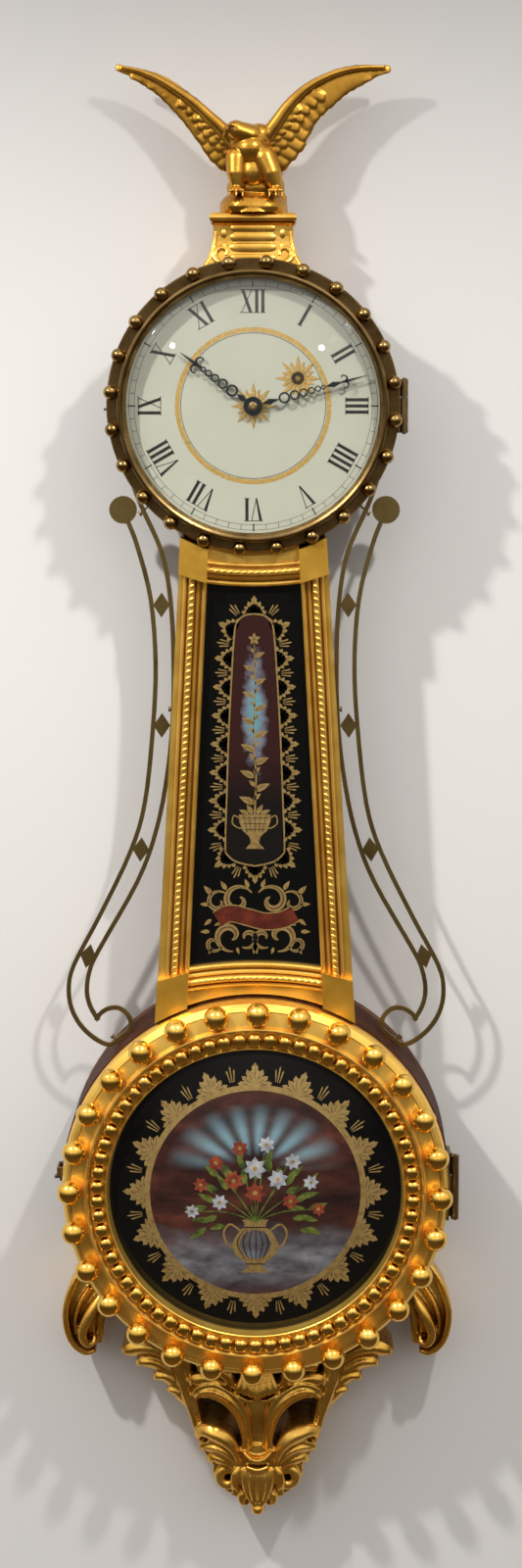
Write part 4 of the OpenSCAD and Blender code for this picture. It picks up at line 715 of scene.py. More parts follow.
def border(name, line, count, reach, half, out, body, lay=None):
    """Palmettes on a closed line, and darts half way between them."""
    gold, dark = palmette(reach, half)
    n = len(line)
    around = [math.dist(line[k], line[(k + 1) % n]) for k in range(n)]
    half_step, k = sum(around) / count / 2, 0
    while half_step > around[k]:
        half_step -= around[k]
        k += 1
    start = part_way(line[k], line[(k + 1) % n], half_step / around[k])
    shifted = [start] + [line[(k + 1 + j) % n] for j in range(n)]
    for part, path, lift, shapes, finish in (
        ("_palmettes", line, 0, gold, glass_gold),
        ("_veins", line, 0.04, dark, ink_and_painted_shadow),
        ("_darts", shifted, 0, moved(dart(reach * 0.7), 0, reach * 0.24), glass_gold),
    ):
        mesh = trim(path, out + lift, motif_of(shapes), count)
        if lay:
            lay(mesh)
        piece(name + part, mesh, finish, body)


right_side = smooth_path([(0, -161.3), (8.5, -163.0), (14, -169.5), (15.9, -182), (18.0, -215), (20.3, -257.7),
                          (22.0, -305), (23.3, -345), (21.5, -352.5), (14, -358.2), (0, -361.4)], 6)
field = right_side + [(-x, z) for x, z in right_side[-2:0:-1]]
tablet_out = 64.05


def distance(vector, shares):
    """How far a point lies from the middle, when each axis counts by its share."""
    scaled = node(vector.id_data, "VectorMath", {0: vector, 1: shares}, operation="MULTIPLY").outputs[0]
    return node(vector.id_data, "VectorMath", {0: scaled}, operation="LENGTH").outputs["Value"]


maroon, shader, place = new_finish("throat_field_paint", (0.06, 0.012, 0.012), 0.25)
varnish(shader, 0.8)
spread = node(place.id_data, "Mapping", {"Vector": place, "Location": (0, 0, 6.3), "Scale": (95, 1, 19.3)})
ragged = maths("ADD", distance(spread.outputs[0], (1, 0, 1)), levels(blotches(place, 120, 3), -0.5, 0.5))
glow = tones(ragged, (0.30, (0.13, 0.32, 0.38)), (1.0, (0.034, 0.010, 0.009)), (0.60, (0.17, 0.18, 0.23)))
low = node(place.id_data, "SeparateXYZ", {0: place}).outputs["Z"]
feed(shader, mix(levels(low, 1.0, 0.0, -0.40, -0.355), glow, (0.006, 0.005, 0.005, 1)))
piece("throat_field", flat_mesh([field], tablet_out), maroon, "case")
piece("throat_field_line", flat_mesh(stroke(field, 1.3, True), tablet_out + 0.03), glass_gold, "case")
border("throat", field, 20, 14.4, 10.6, tablet_out, "case")


def leaf(long, wide, bend=0.0):
    """A pointed leaf from its foot, bent to one side."""
    one, other = [], []
    for step in range(9):
        t = step / 8
        half = wide / 2 * math.sin(math.pi * t ** 0.75)
        x = bend * t * t
        one.append((x - half, long * t))
        other.append((x + half, long * t))
    return one + other[-2:0:-1]


def blossom(petals, radius, wide):
    """Petals round a middle."""
    return [moved([leaf(radius, wide)], turn=360 * k / petals)[0] for k in range(petals)]


gold, dark = stroke([(0, -320), (1.2, -290), (-1.0, -255), (0.8, -220), (0, -184)], [1.5, 1.2, 1.0, 0.8, 0.5]), []
for k in range(12):
    side, z = (1 if k % 2 else -1), -312 + 10.6 * k
    size = 1.15 - 0.035 * k
    gold += moved([leaf(11.5, 5.0, 2.2 * side)], 0.4 * side, z, 52 * side, size)
    gold += moved([leaf(6.5, 3.0, -1.0 * side)], 0.4 * side, z + 3.5, -35 * side, size)
    dark += moved(stroke([(0, 1), (0.4 * side, 5), (1.6 * side, 9)], [0.3, 0.35, 0.1]), 0.4 * side, z, 52 * side, size)
gold += moved(blossom(5, 5, 2.6), 0, -181)
half_bowl = [(12.5, -320), (12.2, -326), (9.5, -333), (4.2, -338), (3.2, -343), (7.5, -347.5)]
gold += [half_bowl + [(-x, z) for x, z in reversed(half_bowl)]]
gold += mirrored(stroke(smooth_path([(12, -323), (16.5, -321), (17.6, -327), (13.5, -330.5), (10.2, -331)], 5), 1.0))
gold += mirrored(moved([leaf(8, 3.6, 2)], 5, -320, 50) + moved([leaf(9, 4, 1)], 2, -320, 22))
for z in (-323, -327.5, -332):
    dark += stroke([(-11.5 + (-320 - z) * 0.3, z), (11.5 - (-320 - z) * 0.3, z)], 0.5)
for x in range(-8, 9, 4):
    dark += stroke([(x * 1.1, -321), (x * 0.75, -334)], 0.45)
piece("throat_field_gold", flat_mesh(gold, tablet_out + 0.05), glass_gold, "case")
piece("throat_field_strokes", flat_mesh(dark, tablet_out + 0.09), ink_and_painted_shadow, "case")


def spiral(across, up, r0, r1, a0, a1, n=26):
    """A scroll about a middle, from one radius and angle to another."""
    steps = [(r0 + (r1 - r0) * k / n, math.radians(a0 + (a1 - a0) * k / n)) for k in range(n + 1)]
    return [(across + r * math.sin(a), up + r * math.cos(a)) for r, a in steps]


def swelling(n, low, high):
    """Widths for n points, from low over high in the middle to low."""
    return [low + (high - low) * math.sin(math.pi * k / (n - 1)) for k in range(n)]


gold, dark = [], []
for fat, *scroll in ((5.2, 13.5, -389.0, 12.5, 3.0, -60, 330), (3.6, 29.5, -390.5, 9.5, 2.5, -40, 300),
                     (5.6, 20.0, -418.0, 12.5, 3.2, 190, -150), (4.2, 6.0, -419.5, 8.5, 2.6, 150, 460),
                     (3.4, 33.0, -424.0, 7.0, 2.0, 250, -60)):
    curl = spiral(*scroll)
    gold += stroke(curl, swelling(len(curl), 1.0, fat))
    dark += stroke(curl[2:-2], swelling(len(curl) - 4, 0.2, 0.8))
for across, up, turn, size in ((36, -382, 30, 1.0), (39, -392, 75, 0.8), (37, -406, 120, 0.8), (6, -376, 10, 0.8),
                               (24, -378, 20, 0.9), (39, -414, 80, 0.8), (36, -430, 140, 0.6), (14, -430, 185, 0.6),
                               (0, -427, 180, 0.9), (30, -408, 100, 0.6)):
    a = math.radians(turn)
    gold += moved([leaf(9.5, 4.2, 1.6)], across - 3 * math.sin(a), up - 3 * math.cos(a), turn, size)
piece("throat_scroll_gold", flat_mesh(mirrored(gold), tablet_out), glass_gold, "case")
piece("throat_scroll_strokes", flat_mesh(mirrored(dark), tablet_out + 0.04), ink_and_painted_shadow, "case")

red_paint = dabbed("red_ribbon_paint", (0.11, 0.018, 0.010), 0.3, (90, 4),
                   (0.3, (0.055, 0.010, 0.006)), (0.7, (0.16, 0.028, 0.014)), gloss=0.7)[0]
middle_line = smooth_path([(-30, -404.5), (-20, -399.5), (-6, -402.5), (8, -406), (22, -404.5), (31.5, -399.5)], 5)
piece("throat_ribbon_edge", flat_mesh(stroke(middle_line, 14.6), tablet_out + 0.07), glass_gold, "case")
piece("throat_ribbon", flat_mesh(stroke(middle_line, 12.6), tablet_out + 0.1), red_paint, "case")


# Round door: its glass is painted like the throat's, and its picture is a vase of flowers.
# The glass is domed, so everything painted on it is laid on the dome.

box_up, door_sight, door_seat, door_rise = -620, 115.5, 83, 12


def on_dome(mesh, gap=0.12):
    """Lays a flat mesh on the door's domed glass, and lifts it off by gap millimetres."""
    big = dome_radius(door_sight, door_rise)
    for v in mesh.vertices:
        x, z = v.co.x * 1000, v.co.z * 1000 + dial_down - box_up
        layer = -v.co.y * 1000
        v.co.y = -(door_seat + door_rise - big + math.sqrt(big * big - x * x - z * z) + gap + layer) / 1000
    return mesh


door_dome = spun(blown_glass(door_sight, door_seat, door_rise), box_up)
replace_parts(piece("door_glass_dome", door_dome, black_glass, "door"), "door_tablet")
border("door", disc(87, box_up, 240), 16, 18.5, 14.5, 0.0, "door", on_dome)
piece("door_gold_ring", on_dome(flat_mesh(band(83.5, 88.2, 180, (0, box_up)), 0.0)), glass_gold, "door")

bead = bmesh.new()
bmesh.ops.create_icosphere(bead, subdivisions=3, radius=1)
for v in bead.verts:
    square = (abs(v.co.x) ** 3 + abs(v.co.z) ** 3 + abs(v.co.y) ** 3) ** (1 / 3)
    v.co = Vector((v.co.x * 5.6, v.co.y * 6.0, v.co.z * 5.7)) / square / 1000
bead_ring = trim(disc(125.4, box_up, 240), 91.5, mesh_of(bead, True), 66)
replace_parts(piece("door_bead_ring", bead_ring, ball_gilt, "door"), "door_beads")

picture, shader, place = new_finish("picture_paint", (0.05, 0.02, 0.018), 0.25)
varnish(shader, 0.9)
tree = place.id_data
height = node(tree, "SeparateXYZ", {0: place}).outputs["Z"]
clouds = blotches(place, 28, 6, (1, 1, 2.2))
smoke = blotches(place, 45, 5, (1, 1, 2.0))
brown = tones(clouds, (0.35, (0.018, 0.008, 0.008)), (0.72, (0.115, 0.034, 0.022)), (0.55, (0.055, 0.018, 0.014)))
grey = tones(smoke, (0.25, (0.035, 0.033, 0.038)), (0.75, (0.30, 0.30, 0.32)), (0.5, (0.15, 0.15, 0.17)))
low_part = levels(maths("ADD", height, levels(clouds, -0.02, 0.02)), 1.0, 0.0, -0.760, -0.730)
fall_off = levels(height, 0.0, 1.0, -0.792, -0.770)
ground = mix(maths("MULTIPLY", low_part, fall_off), brown, grey)
seen_from = node(tree, "VectorMath", {0: place, 1: (0.0, 0.0, 0.690)}, operation="ADD").outputs[0]
fan = node(tree, "SeparateXYZ", {0: seen_from}).outputs
rays = maths("SINE", maths("MULTIPLY", maths("ARCTAN2", fan["X"], fan["Z"]), 17.0))
far = distance(seen_from, (1.0, 0.0, 1.25))
shine = maths("MULTIPLY", levels(far, 1.0, 0.0, 0.045, 0.072), levels(far, 0.0, 1.0, 0.018, 0.034))
shine = maths("MULTIPLY", shine, levels(fan["Z"], 0.0, 1.0, 0.002, 0.018))
shine = maths("MULTIPLY", shine, levels(rays, 0.15, 0.9, -1.0, 1.0))
feed(shader, mix(shine, ground, (0.22, 0.37, 0.43, 1)))
ring_step = 8.5
picture_face = [disc(ring_step, box_up, 72)]
for k in range(1, 10):
    picture_face += band(ring_step * k, ring_step * (k + 1), 72, (0, box_up))
piece("door_picture", on_dome(flat_mesh(picture_face, -0.03)), picture, "door")

paints = {name: dabbed(name + "_paint", light, 0.35, (150, 4), (0.35, dark), (0.65, light), gloss=0.9)[0]
          for name, dark, light in (("leaf_green", (0.035, 0.06, 0.012), (0.16, 0.20, 0.035)),
                                    ("grey_white", (0.24, 0.25, 0.28), (0.52, 0.54, 0.58)),
                                    ("petal_red", (0.14, 0.022, 0.014), (0.33, 0.07, 0.03)),
                                    ("petal_gold", (0.25, 0.13, 0.03), (0.50, 0.34, 0.10)))}
layers = {"stems": [], "vase": [], "vase_shade": [], "leaves": [], "red_petals": [], "white_petals": [], "hearts": []}
for x, z, bend in ((-44, 8, -10), (-30, 26, -6), (-12, 38, -2), (8, 40, 2), (27, 27, 6), (44, 10, 10), (-50, -14, -14),
                   (50, -12, 14), (0, 20, 0), (-20, 8, -4), (20, 10, 4)):
    layers["stems"] += stroke(smooth_path([(0, -22), (x * 0.35 + bend * 0.3, z * 0.3 - 10), (x, z)], 6), 0.9)
for k in range(34):
    turn = -118 + 7.1 * k
    a, r = math.radians(turn), 24 + 17 * ((k * 5) % 7) / 7
    layers["leaves"] += moved([leaf(12 + 5 * ((k * 3) % 4) / 3, 5.2, 2.5 * (1 if k % 2 else -1))],
                              r * 1.15 * math.sin(a), -14 + r * math.cos(a), turn + 24 * (-1) ** k)
for k, (x, z, size) in enumerate(((0, 22, 9.5), (-17, 12, 8.5), (18, 13, 8.5), (-31, 26, 7), (30, 27, 7), (-12, 38, 7),
                                  (9, 41, 7), (-43, 8, 6.5), (44, 10, 6.5), (0, 2, 9), (-50, -14, 6), (50, -12, 6),
                                  (-28, -6, 7), (28, -5, 7))):
    kind = "white_petals" if k % 2 == 0 else "red_petals"
    layers[kind] += moved(blossom(7, size, size * 0.62), x, z, 11 * k)
    layers[kind] += moved(blossom(5, size * 0.62, size * 0.5), x, z, 29 * k)
    layers["hearts"] += moved(blossom(6, size * 0.24, size * 0.22), x, z)
half_vase = smooth_path([(10.5, -20), (8.5, -25), (13.5, -31), (18, -40), (16, -49), (8, -56), (6, -60), (12, -65)], 5)
layers["vase"] = [half_vase + [(-x, z) for x, z in reversed(half_vase)]]
layers["vase"] += mirrored(stroke(smooth_path([(12, -29), (20, -24), (25, -31), (22, -41), (16.5, -44)], 5), 1.7))
flute = [0.3 + 0.12 * k for k in range(6)] + [0.9 - 0.13 * k for k in range(5)]
for x in (-12.5, -8.5, -4, 0.5, 5, 9):
    layers["vase_shade"] += stroke(smooth_path([(x * 0.7, -29), (x * 1.15, -40), (x * 0.6, -54)], 5), flute)
layers["vase_shade"] += stroke([(-11, -26.5), (11, -26.5)], 1.0) + stroke([(-7.5, -57.5), (7.5, -57.5)], 1.0)
finishes = (paints["leaf_green"], glass_gold, ink_and_painted_shadow, paints["leaf_green"], paints["petal_red"], paints["grey_white"],
            paints["petal_gold"])
for depth, ((name, shapes), finish) in enumerate(zip(layers.items(), finishes)):
    piece("picture_" + name, on_dome(flat_mesh(moved(shapes, up=box_up), 0.04 + 0.035 * depth)), finish, "door")


# Carved eagle, bracket and ears: limewood, cut with gouges, then gessoed and gilded.
# Each leaf, strap and feather is a swept form; all are run together softly, as gesso fills the cuts.


def carve(bm, line, crown, back, ribs=0, rib=0.6, tilt=0.0, steps=9, across=14):
    """Adds a carved strap or leaf, rounded by crown, from its line's points down to a distance off the wall.

    The line holds points of across, up, width and distance off the wall; ribs run along it, each rib high.
    """
    path = smooth_path(line, steps)
    rings, n = [], len(path)
    for i, (x, z, w, out) in enumerate(path):
        a, b = path[max(i - 1, 0)], path[min(i + 1, n - 1)]
        run = Vector((b[0] - a[0], b[1] - a[1])).normalized()
        half, ring = max(w, 0.5) / 2, []
        for j in range(across + 1):
            t = 2 * j / across - 1
            dome = math.sqrt(max(0.0, 1 - t * t))
            lift = half * (crown * dome + tilt * t)
            if ribs:
                lift += rib * min(1, half / 3) * math.cos(ribs * math.pi * t) * dome
            ring.append(bm.verts.new(spot(x - run.y * half * t, out + lift, z + run.x * half * t)))
        rear = min(back, out - 1.5)
        for t in (0.78, -0.78):
            ring.append(bm.verts.new(spot(x - run.y * half * t, rear, z + run.x * half * t)))
        rings.append(ring)
    for one, two in zip(rings, rings[1:]):
        for j in range(len(one)):
            k = (j + 1) % len(one)
            bm.faces.new((one[j], one[k], two[k], two[j]))
    bm.faces.new(rings[0])
    bm.faces.new(rings[-1])


def eggs(bm, *masses):
    """Adds egg-shaped masses: each is across, out, up and its three half sizes, in millimetres."""
    for x, out, z, rx, ry, rz in masses:
        for v in bmesh.ops.create_icosphere(bm, subdivisions=3, radius=1)["verts"]:
            v.co = spot(x + v.co.x * rx, out - v.co.y * ry, z + v.co.z * rz)


def between(one, two, n=6):
    """Egg-shaped masses from one to the other."""
    return [tuple(a + (b - a) * k / n for a, b in zip(one, two)) for k in range(n + 1)]


def both_sides(bm):
    """Adds the mirror image of everything so far."""
    made = bmesh.ops.duplicate(bm, geom=bm.verts[:] + bm.edges[:] + bm.faces[:])
    for v in (g for g in made["geom"] if isinstance(g, bmesh.types.BMVert)):
        v.co.x = -v.co.x


def run_together(bm, grain, soften, keep=1.0):
    """Fuses closed forms into one skin of quads of about grain millimetres, then softens its edges."""
    bmesh.ops.recalc_face_normals(bm, faces=bm.faces)
    carrier = stand("carrier", mesh_of(bm))
    join = carrier.modifiers.new("join", "REMESH")
    join.mode = "VOXEL"
    join.voxel_size = grain / 1000
    smooth = carrier.modifiers.new("smooth", "SMOOTH")
    smooth.factor = 0.5
    smooth.iterations = soften
    if keep < 1:
        carrier.modifiers.new("thin", "DECIMATE").ratio = keep
    made = bpy.data.meshes.new_from_object(carrier.evaluated_get(bpy.context.evaluated_depsgraph_get()))
    bpy.data.objects.remove(carrier)
    made.polygons.foreach_set("use_smooth", [True] * len(made.polygons))
    return made


bird = bmesh.new()
eggs(bird, *between((-3, 42, 202, 16.5, 13, 11.5), (1, 38, 176, 20, 13, 14)), (1.5, 37, 166, 22.5, 14, 12),
     (-2, 47, 195, 13, 11, 12), (0, 44, 178, 13, 11, 13), (4.5, 41, 206, 10.5, 10, 9), (15, 34, 166, 9, 8, 12),
     (21, 32, 156, 5, 5, 8))
eggs(bird, *between((-3, 45, 205, 11, 11, 9.5), (-12, 50, 208.5, 8.2, 8.2, 7.8)))
eggs(bird, *between((-13, 51, 210, 7.4, 7.0, 6.7), (-17.5, 52, 209.6, 4.9, 4.4, 4.4), 4))
eggs(bird, *between((-18.5, 52.5, 209.4, 3.4, 2.5, 2.8), (-22.4, 53, 204.0, 1.2, 1.0, 1.2), 7))
eggs(bird, (-16.5, 57, 212.6, 3.4, 1.5, 1.2))
for hip, knee, heel in (
    ((-13.0, 48.5, 187, 8.6, 8.8, 10.0), (-13.2, 52, 177, 7.2, 7.0, 7.0), (-12.6, 53, 168, 4.8, 5.0, 5.0)),
    ((9.0, 49, 188, 9.6, 9.2, 10.5), (14.0, 52.5, 177, 7.8, 7.4, 7.5), (17.6, 53, 167.5, 5.2, 5.4, 5.0)),
):
    eggs(bird, *between(hip, knee), *between(knee, heel))
    for toe in (-1, 0, 1):
        bend = (heel[0] + 4.6 * toe, 61.2 - abs(toe), 163.2)
        eggs(bird, *between((heel[0], 56, 164.8, 2.6, 2.8, 2.4), (*bend, 1.9, 2.2, 1.8), 4))
        eggs(bird, *between((*bend, 1.5, 1.6, 1.5), (heel[0] + 5.0 * toe, 63.6 - abs(toe), 158.8, 0.7, 0.8, 0.9), 5))
eggs(bird, *between((-8, 38, 151.5, 18.5, 24.5, 12.6), (8, 38, 151, 18.5, 24.5, 12.0), 4), (0, 38, 147, 27, 25.5, 11))


def wing_point(front, rear, t, share):
    """A point of a wing: t along it from the body, share from its front edge to its rear."""
    count = len(front) - 1
    k = min(int(t * count), count - 1)
    return part_way(*(part_way(edge[k], edge[k + 1], t * count - k) for edge in (front, rear)), share)


wings = (
    (((-16, 205), (-23, 212.5), (-33.8, 222.2), (-46, 233), (-58, 241), (-74, 250.5), (-90, 256.6), (-105.6, 259.6)),
     ((-20.5, 180), (-31, 187.3), (-39.5, 198), (-45, 209.5), (-53, 220.5), (-66, 235), (-85, 246), (-105.8, 257.8))),
    (((10.5, 208), (17, 216.5), (26, 229), (38, 241), (52, 249.8), (70, 256.6), (89, 258.9), (105.6, 258.8)),
     ((20, 179.5), (30, 189), (39.5, 200), (44, 213), (54, 222), (63, 234), (80, 245), (105.6, 256.0))),
)
feather = ((0.5, 0.4), (0.92, 0.5), (1, 0.2), (0.86, -0.1), (0.55, -0.8))
for front, rear in wings:
    way = 1 if front[0][0] < 0 else -1
    front, rear = smooth_path(front, 6), smooth_path(rear, 6)
    blade = []
    for k in range(15):
        a, b = wing_point(front, rear, k / 14, 0.0), wing_point(front, rear, k / 14, 0.93)
        blade.append(((a[0] + b[0]) / 2, (a[1] + b[1]) / 2, max(4.2, math.dist(a, b)), 39.6 - 7 * (k / 14) ** 2))
    carve(bird, blade, crown=0.10, back=36, steps=3, across=12)
    for reach, fat, lift, quills, last in ((1.0, 14.5, 0.0, 12, 1.0), (0.60, 11.5, 1.4, 8, 0.60),
                                           (0.34, 9.0, 2.3, 6, 0.38)):
        for q in range(quills, -1, -1):
            t = last * (q + 0.3) / (quills + 0.3)
            slim = 1 - 0.62 * t
            root, middle, tip = (wing_point(front, rear, *at) for at in (
                (max(0.0, t - 0.24), 0.10), (max(0.0, t - 0.09), 0.58 * reach), (t, reach * (1.09 - 0.08 * t))))
            wide, out = max(3.4, fat * slim), 40.6 + lift * slim - 7 * t * t
            line = [root, middle] + [part_way(middle, tip, share) for share in (0.6, 0.88, 1)]
            carve(bird, [(*at, wide * w, out + rise) for at, (w, rise) in zip(line, feather)],
                  crown=0.20 - 0.14 * t, back=out - 3.4, tilt=(0.15 - 0.09 * t) * way, steps=4, across=8)
    n = len(front)
    arm = [(x + 0.5 * way, z - 3.2 + 2.0 * k / n, 9.5 * (1 - k / n) ** 1.2 + 2.6, 42.6 - 8.5 * (k / n) ** 2)
           for k, (x, z) in enumerate(front)]
    carve(bird, arm[::4], crown=0.9, back=30, steps=6, across=12)
eagle_mesh = run_together(bird, 0.62, 4)
slab_top, plinth_rear = 0.0601, -0.0165
for v in eagle_mesh.vertices:
    v.co.z = max(v.co.z, slab_top)
    v.co.y = min(v.co.y, plinth_rear)
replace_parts(piece("carved_eagle", eagle_mesh, eagle_shaded_gilt, "case"), "eagle")
eyes = bmesh.new()
eggs(eyes, (-17.6, 56.4, 210.2, 1.25, 0.9, 1.1), (-13.2, 44.2, 211.4, 1.1, 1.2, 1.2))
piece("eagle_eyes", mesh_of(eyes), ink_and_painted_shadow, "case")


def plinth_half(up):
    """Half width of the plinth at a height: straight under its slab, then flared."""
    return 30.5 if up > 133 else 78.5 - math.sqrt(48 ** 2 - (133 - up) ** 2)


plinth = bmesh.new()
for up, tall in ((134.8, 6.4), (127.6, 8.2), (119.6, 8.6), (111.6, 7.6)):
    front = plinth_half(up) + 24.5
    carve(plinth, [(x, up, tall * (0.6 if abs(x) == 19 else 1), front - sink)
                   for x, sink in ((-19, 1.6), (-14, 0.6), (0, 0.2), (14, 0.6), (19, 1.6))],
          crown=0.42, back=front - 5, steps=4, across=12)
for side in (-1, 1):
    eggs(plinth, (side * 22.5, plinth_half(130) + 21.5, 130.5, 3.4, 4.2, 6.0),
         (side * 21.5, plinth_half(121) + 21.5, 121.5, 3.0, 4.0, 4.0))
    for curl in ([(12, 108.6, 2.8), (19.5, 107.6, 4.4), (27, 109.8, 5.6), (29.5, 115.4, 5.4), (25.5, 119.6, 4.6),
                  (20.6, 118.2, 3.8), (20.6, 114.4, 3.0)],
                 [(28.6, 133, 2.4), (29.4, 124, 3.4), (32.0, 115, 3.2), (36.6, 106.5, 2.2)]):
        carve(plinth, [(side * x, z, w, plinth_half(z) + 24.3) for x, z, w in curl], crown=0.75,
              back=48, steps=6, across=10)
piece("plinth_carving", run_together(plinth, 0.6, 1), carved_gilt, "case")

lower = bmesh.new()
for shape, line in (
    # the long outer strap, and the leaf sprays that leave it
    ((0.40, 2, 3, 0.9), ((66, -756, 22, 36), (63.5, -772, 20, 39), (60.5, -790, 16, 41), (56.5, -806, 13, 42),
                         (51.5, -824, 9.5, 42.5), (47, -842, 8, 41), (40, -858, 8, 39), (32, -872, 7, 37))),
    ((0.55, 4, 1, 1.2, 0.12), ((64, -792, 8, 34), (72, -779, 13, 38), (84, -769.5, 16, 40.5), (96, -768, 14.5, 41),
                               (104.5, -770.5, 13, 40), (110, -773.5, 7, 38))),
    ((0.6, 4, 1, 1.0, 0.12), ((64, -803, 8, 33), (73, -790, 12, 37), (84, -781.5, 12.5, 39), (93.5, -781, 10.5, 39),
                              (98.5, -784.5, 5, 37))),
    ((0.62, 4, 1, 0.9, 0.12), ((59, -814, 8, 33), (67, -801, 11, 36.5), (75.5, -793.5, 10.5, 38.5),
                               (81.5, -793.8, 8.5, 38.5), (84.5, -797, 4, 37))),
    ((0.62, 4, 1, 0.8, 0.12), ((56, -822, 7, 32), (62, -813, 9, 36), (67.5, -806.5, 8, 38), (71.5, -806, 6, 38),
                               (73.5, -808, 3.5, 36))),
    # the leaves that arch over each eye
    ((0.55, 14, 2, 1.1, 0.1), ((8.5, -862, 6, 44), (8.8, -842, 9, 47), (13.2, -822, 12, 50), (23, -807.5, 14.5, 52),
                               (36, -800.5, 15, 51.5), (46.5, -803, 12, 49), (51.5, -809.5, 6, 45))),
    ((0.6, 14, 1, 1.0, 0.1), ((22, -806, 6, 50), (30, -796, 11, 50), (41, -791.5, 12, 48), (51, -794, 10, 46),
                              (55, -800, 5, 43))),
    ((0.55, 16, 1, 0.9), ((17, -800, 6, 48), (26, -787, 11, 48), (38, -781.5, 11, 46), (50, -782.5, 8, 43))),
    # three fat rolled leaves under the eye
    ((0.78, 6, 1, 1.3, 0.15), ((14.6, -866, 6, 45), (20, -852, 11, 49), (28.5, -841.5, 15, 51), (38.5, -837, 16, 49.5),
                               (46.5, -839.5, 11, 45), (48.5, -846, 5, 41))),
    ((0.7, 6, 2, 1.0, 0.15), ((15.5, -869, 6, 44), (24, -856.5, 11.5, 47), (34.5, -851, 13, 46.5),
                              (43.5, -852.5, 9.5, 43), (46, -856.5, 4.5, 40))),
    ((0.68, 6, 1, 0.9, 0.12), ((17, -872.5, 5.5, 42), (26, -864.5, 11, 43.5), (35.5, -862.5, 10.5, 41.5),
                               (40.5, -867.5, 5.5, 38))),
    # the eyed scroll, the small curl under it and the edge leaf beside it
    ((0.8, 8), ((13.5, -867, 5, 46), (17.5, -874.5, 8, 47), (18.2, -884, 8, 45), (14.2, -890.5, 5, 42))),
    ((0.8, 8), ((21, -892, 8, 40), (15.5, -893.5, 7.5, 41), (12.5, -899, 5, 39))),
    ((0.6, 3), ((33, -868, 7, 37), (33.5, -878, 7.5, 36), (28, -888.5, 6.5, 36), (20, -894.5, 5, 36))),
):
    carve(lower, line, *shape)
eyed = [(24.6 + 6.6 * math.sin(2 * math.pi * k / 16), -879.5 + 6.9 * math.cos(2 * math.pi * k / 16), 8.2, 40.5)
        for k in range(17)]
carve(lower, eyed, crown=0.8, back=6, steps=2)
both_sides(lower)
for k in range(-3, 4):
    carve(lower, [(3.0 * k, -780, 4.0, 52 - 0.4 * abs(k)), (4.0 * k, -790, 4.8, 55.5 - 0.6 * abs(k)),
                  (4.9 * k, -800 + 0.9 * abs(k), 5.4, 58 - 1.0 * abs(k)),
                  (5.0 * k, -805 + 1.1 * abs(k), 4.0, 57.4 - 1.1 * abs(k))], crown=0.85, back=30, across=8, steps=6)
trunk = ((0, -801, 44, 45), (0, -808, 31, 46), (0, -820, 24.5, 46.5), (0, -836, 22.5, 46.5), (0, -850, 24, 47),
         (0, -860, 27, 47.5))
carve(lower, trunk, crown=-0.22, back=6)
for side in (-1, 1):
    carve(lower, [(side * (w / 2 - 0.9), z, 4.0, out + 0.4) for x, z, w, out in trunk], crown=0.85, back=14, across=8)
    carve(lower, [(side * x, z, w, out) for x, z, w, out in (
        (3, -810.5, 2.6, 49.5), (9, -809.2, 3.8, 51.5), (15, -805.4, 4.4, 52.0), (20, -801.2, 4.2, 51.0),
        (24.5, -798.0, 3.2, 48.0))], crown=0.75, back=32, across=8, steps=6)
carve(lower, [(0, -849, 16, 46.5), (0, -856, 25, 48), (0, -864, 28, 48.5), (0, -871, 26, 47.5)], crown=-0.08, back=6)
carve(lower, [(-11.5, -853.5, 2.6, 51), (-6, -858.5, 3.6, 53), (0, -860, 4.2, 53.8), (6, -858.5, 3.6, 53),
              (11.5, -853.5, 2.6, 51)], crown=0.85, back=40, across=8)
carve(lower, [(-9, -866.5, 2.8, 51), (0, -868.5, 4.2, 53), (9, -866.5, 2.8, 51)], crown=0.8, back=38, across=8)
carve(lower, [(0, -869, 25, 48), (0, -877, 28.5, 48.5), (0, -887, 25, 47.5), (0, -896, 18, 45.5), (0, -903, 12, 43)],
      crown=0.36, ribs=5, rib=1.1, back=5)
for side in (-1, 1):
    carve(lower, [(side * 8, -889, 5, 45), (side * 12.5, -894, 7, 45), (side * 12.5, -900, 5.6, 43.5),
                  (side * 8.5, -903.5, 3, 41)], crown=0.8, back=10, across=8)
eggs(lower, (0, 42, -905.0, 6.0, 8.5, 6.0), (0, 40, -900.0, 8.4, 9.0, 4.5), (0, 26, -872, 17, 19, 18),
     (0, 22, -845, 12, 19, 24), (-14, 24, -868, 12, 18, 15), (14, 24, -868, 12, 18, 15), (0, 26, -888, 15, 18, 14))


box_side, box_middle = 155.3, 100


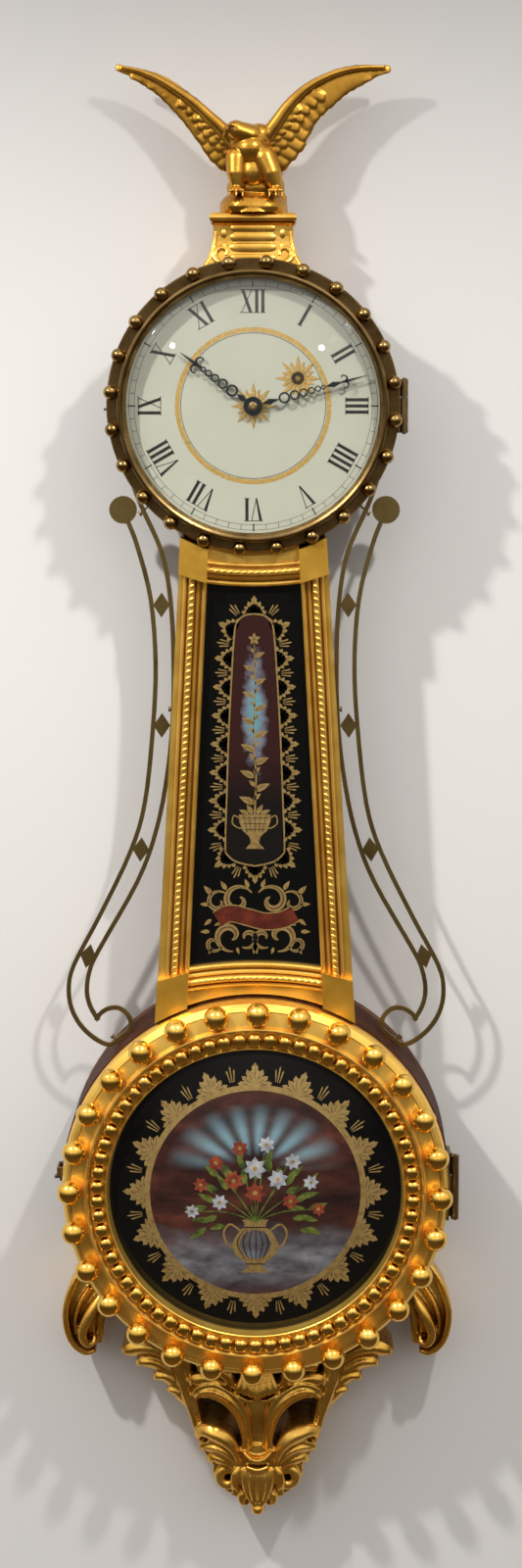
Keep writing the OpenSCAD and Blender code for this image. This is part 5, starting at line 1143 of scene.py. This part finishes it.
def clear_of_box(mesh):
    """Moves what would lie inside the round box out to its side; nothing carved reaches its middle."""
    for v in mesh.vertices:
        across, up = v.co.x * 1000, v.co.z * 1000 + dial_down - box_up
        far = math.hypot(across, up)
        if box_middle < far < box_side:
            v.co.x, v.co.z = across / far * box_side / 1000, (up / far * box_side - dial_down + box_up) / 1000
    return mesh


bracket_mesh = clear_of_box(run_together(lower, 0.85, 2, 0.7))
off_the_wall = -0.0003
for v in bracket_mesh.vertices:
    v.co.y = min(v.co.y, off_the_wall)
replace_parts(piece("carved_bracket", bracket_mesh, carved_gilt, "case"), "bracket")
# Painted shadow: dark ellipses behind the bracket's two eyes stand in for the shade inside the openings.
eye_shadow_shapes = [[(side * 33.5 + 17.5 * x, -826 + 13 * z) for x, z in disc(1, n=24)] for side in (-1, 1)]
piece("bracket_hollow_ground", flat_mesh(eye_shadow_shapes, 6), ink_and_painted_shadow, "case")

ears = bmesh.new()
carve(ears, [(116, -697, 24, 26), (128, -706, 27, 30), (138, -719, 28, 34), (143, -735, 29, 36), (142.8, -750, 28, 36),
             (139.5, -762, 25, 34), (136, -770, 16, 31)], crown=0.06, back=6, steps=8)
carve(ears, [(124, -688, 4, 32), (137, -696, 5, 36), (149, -712, 5.4, 40), (156, -733, 5.6, 42), (155.4, -752, 5.6, 42),
             (150, -766, 5.4, 40), (141, -774, 4.8, 37), (133, -773, 4, 34)], crown=0.85, back=20, steps=8, across=10)
carve(ears, [(121, -716, 6, 38), (128.5, -726, 8, 44), (135.5, -736, 8.6, 47.5), (140.8, -747, 8, 48.5),
             (142.5, -756.5, 7, 47.5), (139, -763.5, 6, 45), (133.8, -762.5, 5, 43), (133, -757, 3.6, 41)],
      crown=0.85, back=28, steps=8, across=10)
carve(ears, [(118, -715, 7, 32), (124, -728, 8, 34), (128.2, -743, 7, 36), (129.4, -757, 6, 36), (130, -767, 5, 34)],
      crown=0.6, back=12, across=10)
carve(ears, [(137, -718, 3, 37), (144.5, -730, 3.4, 40), (148.6, -744, 3.6, 41), (148, -757, 3, 40)],
      crown=0.9, back=28, across=8)
both_sides(ears)
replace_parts(piece("carved_ears", clear_of_box(run_together(ears, 0.8, 3)), carved_gilt, "case"), "ears")
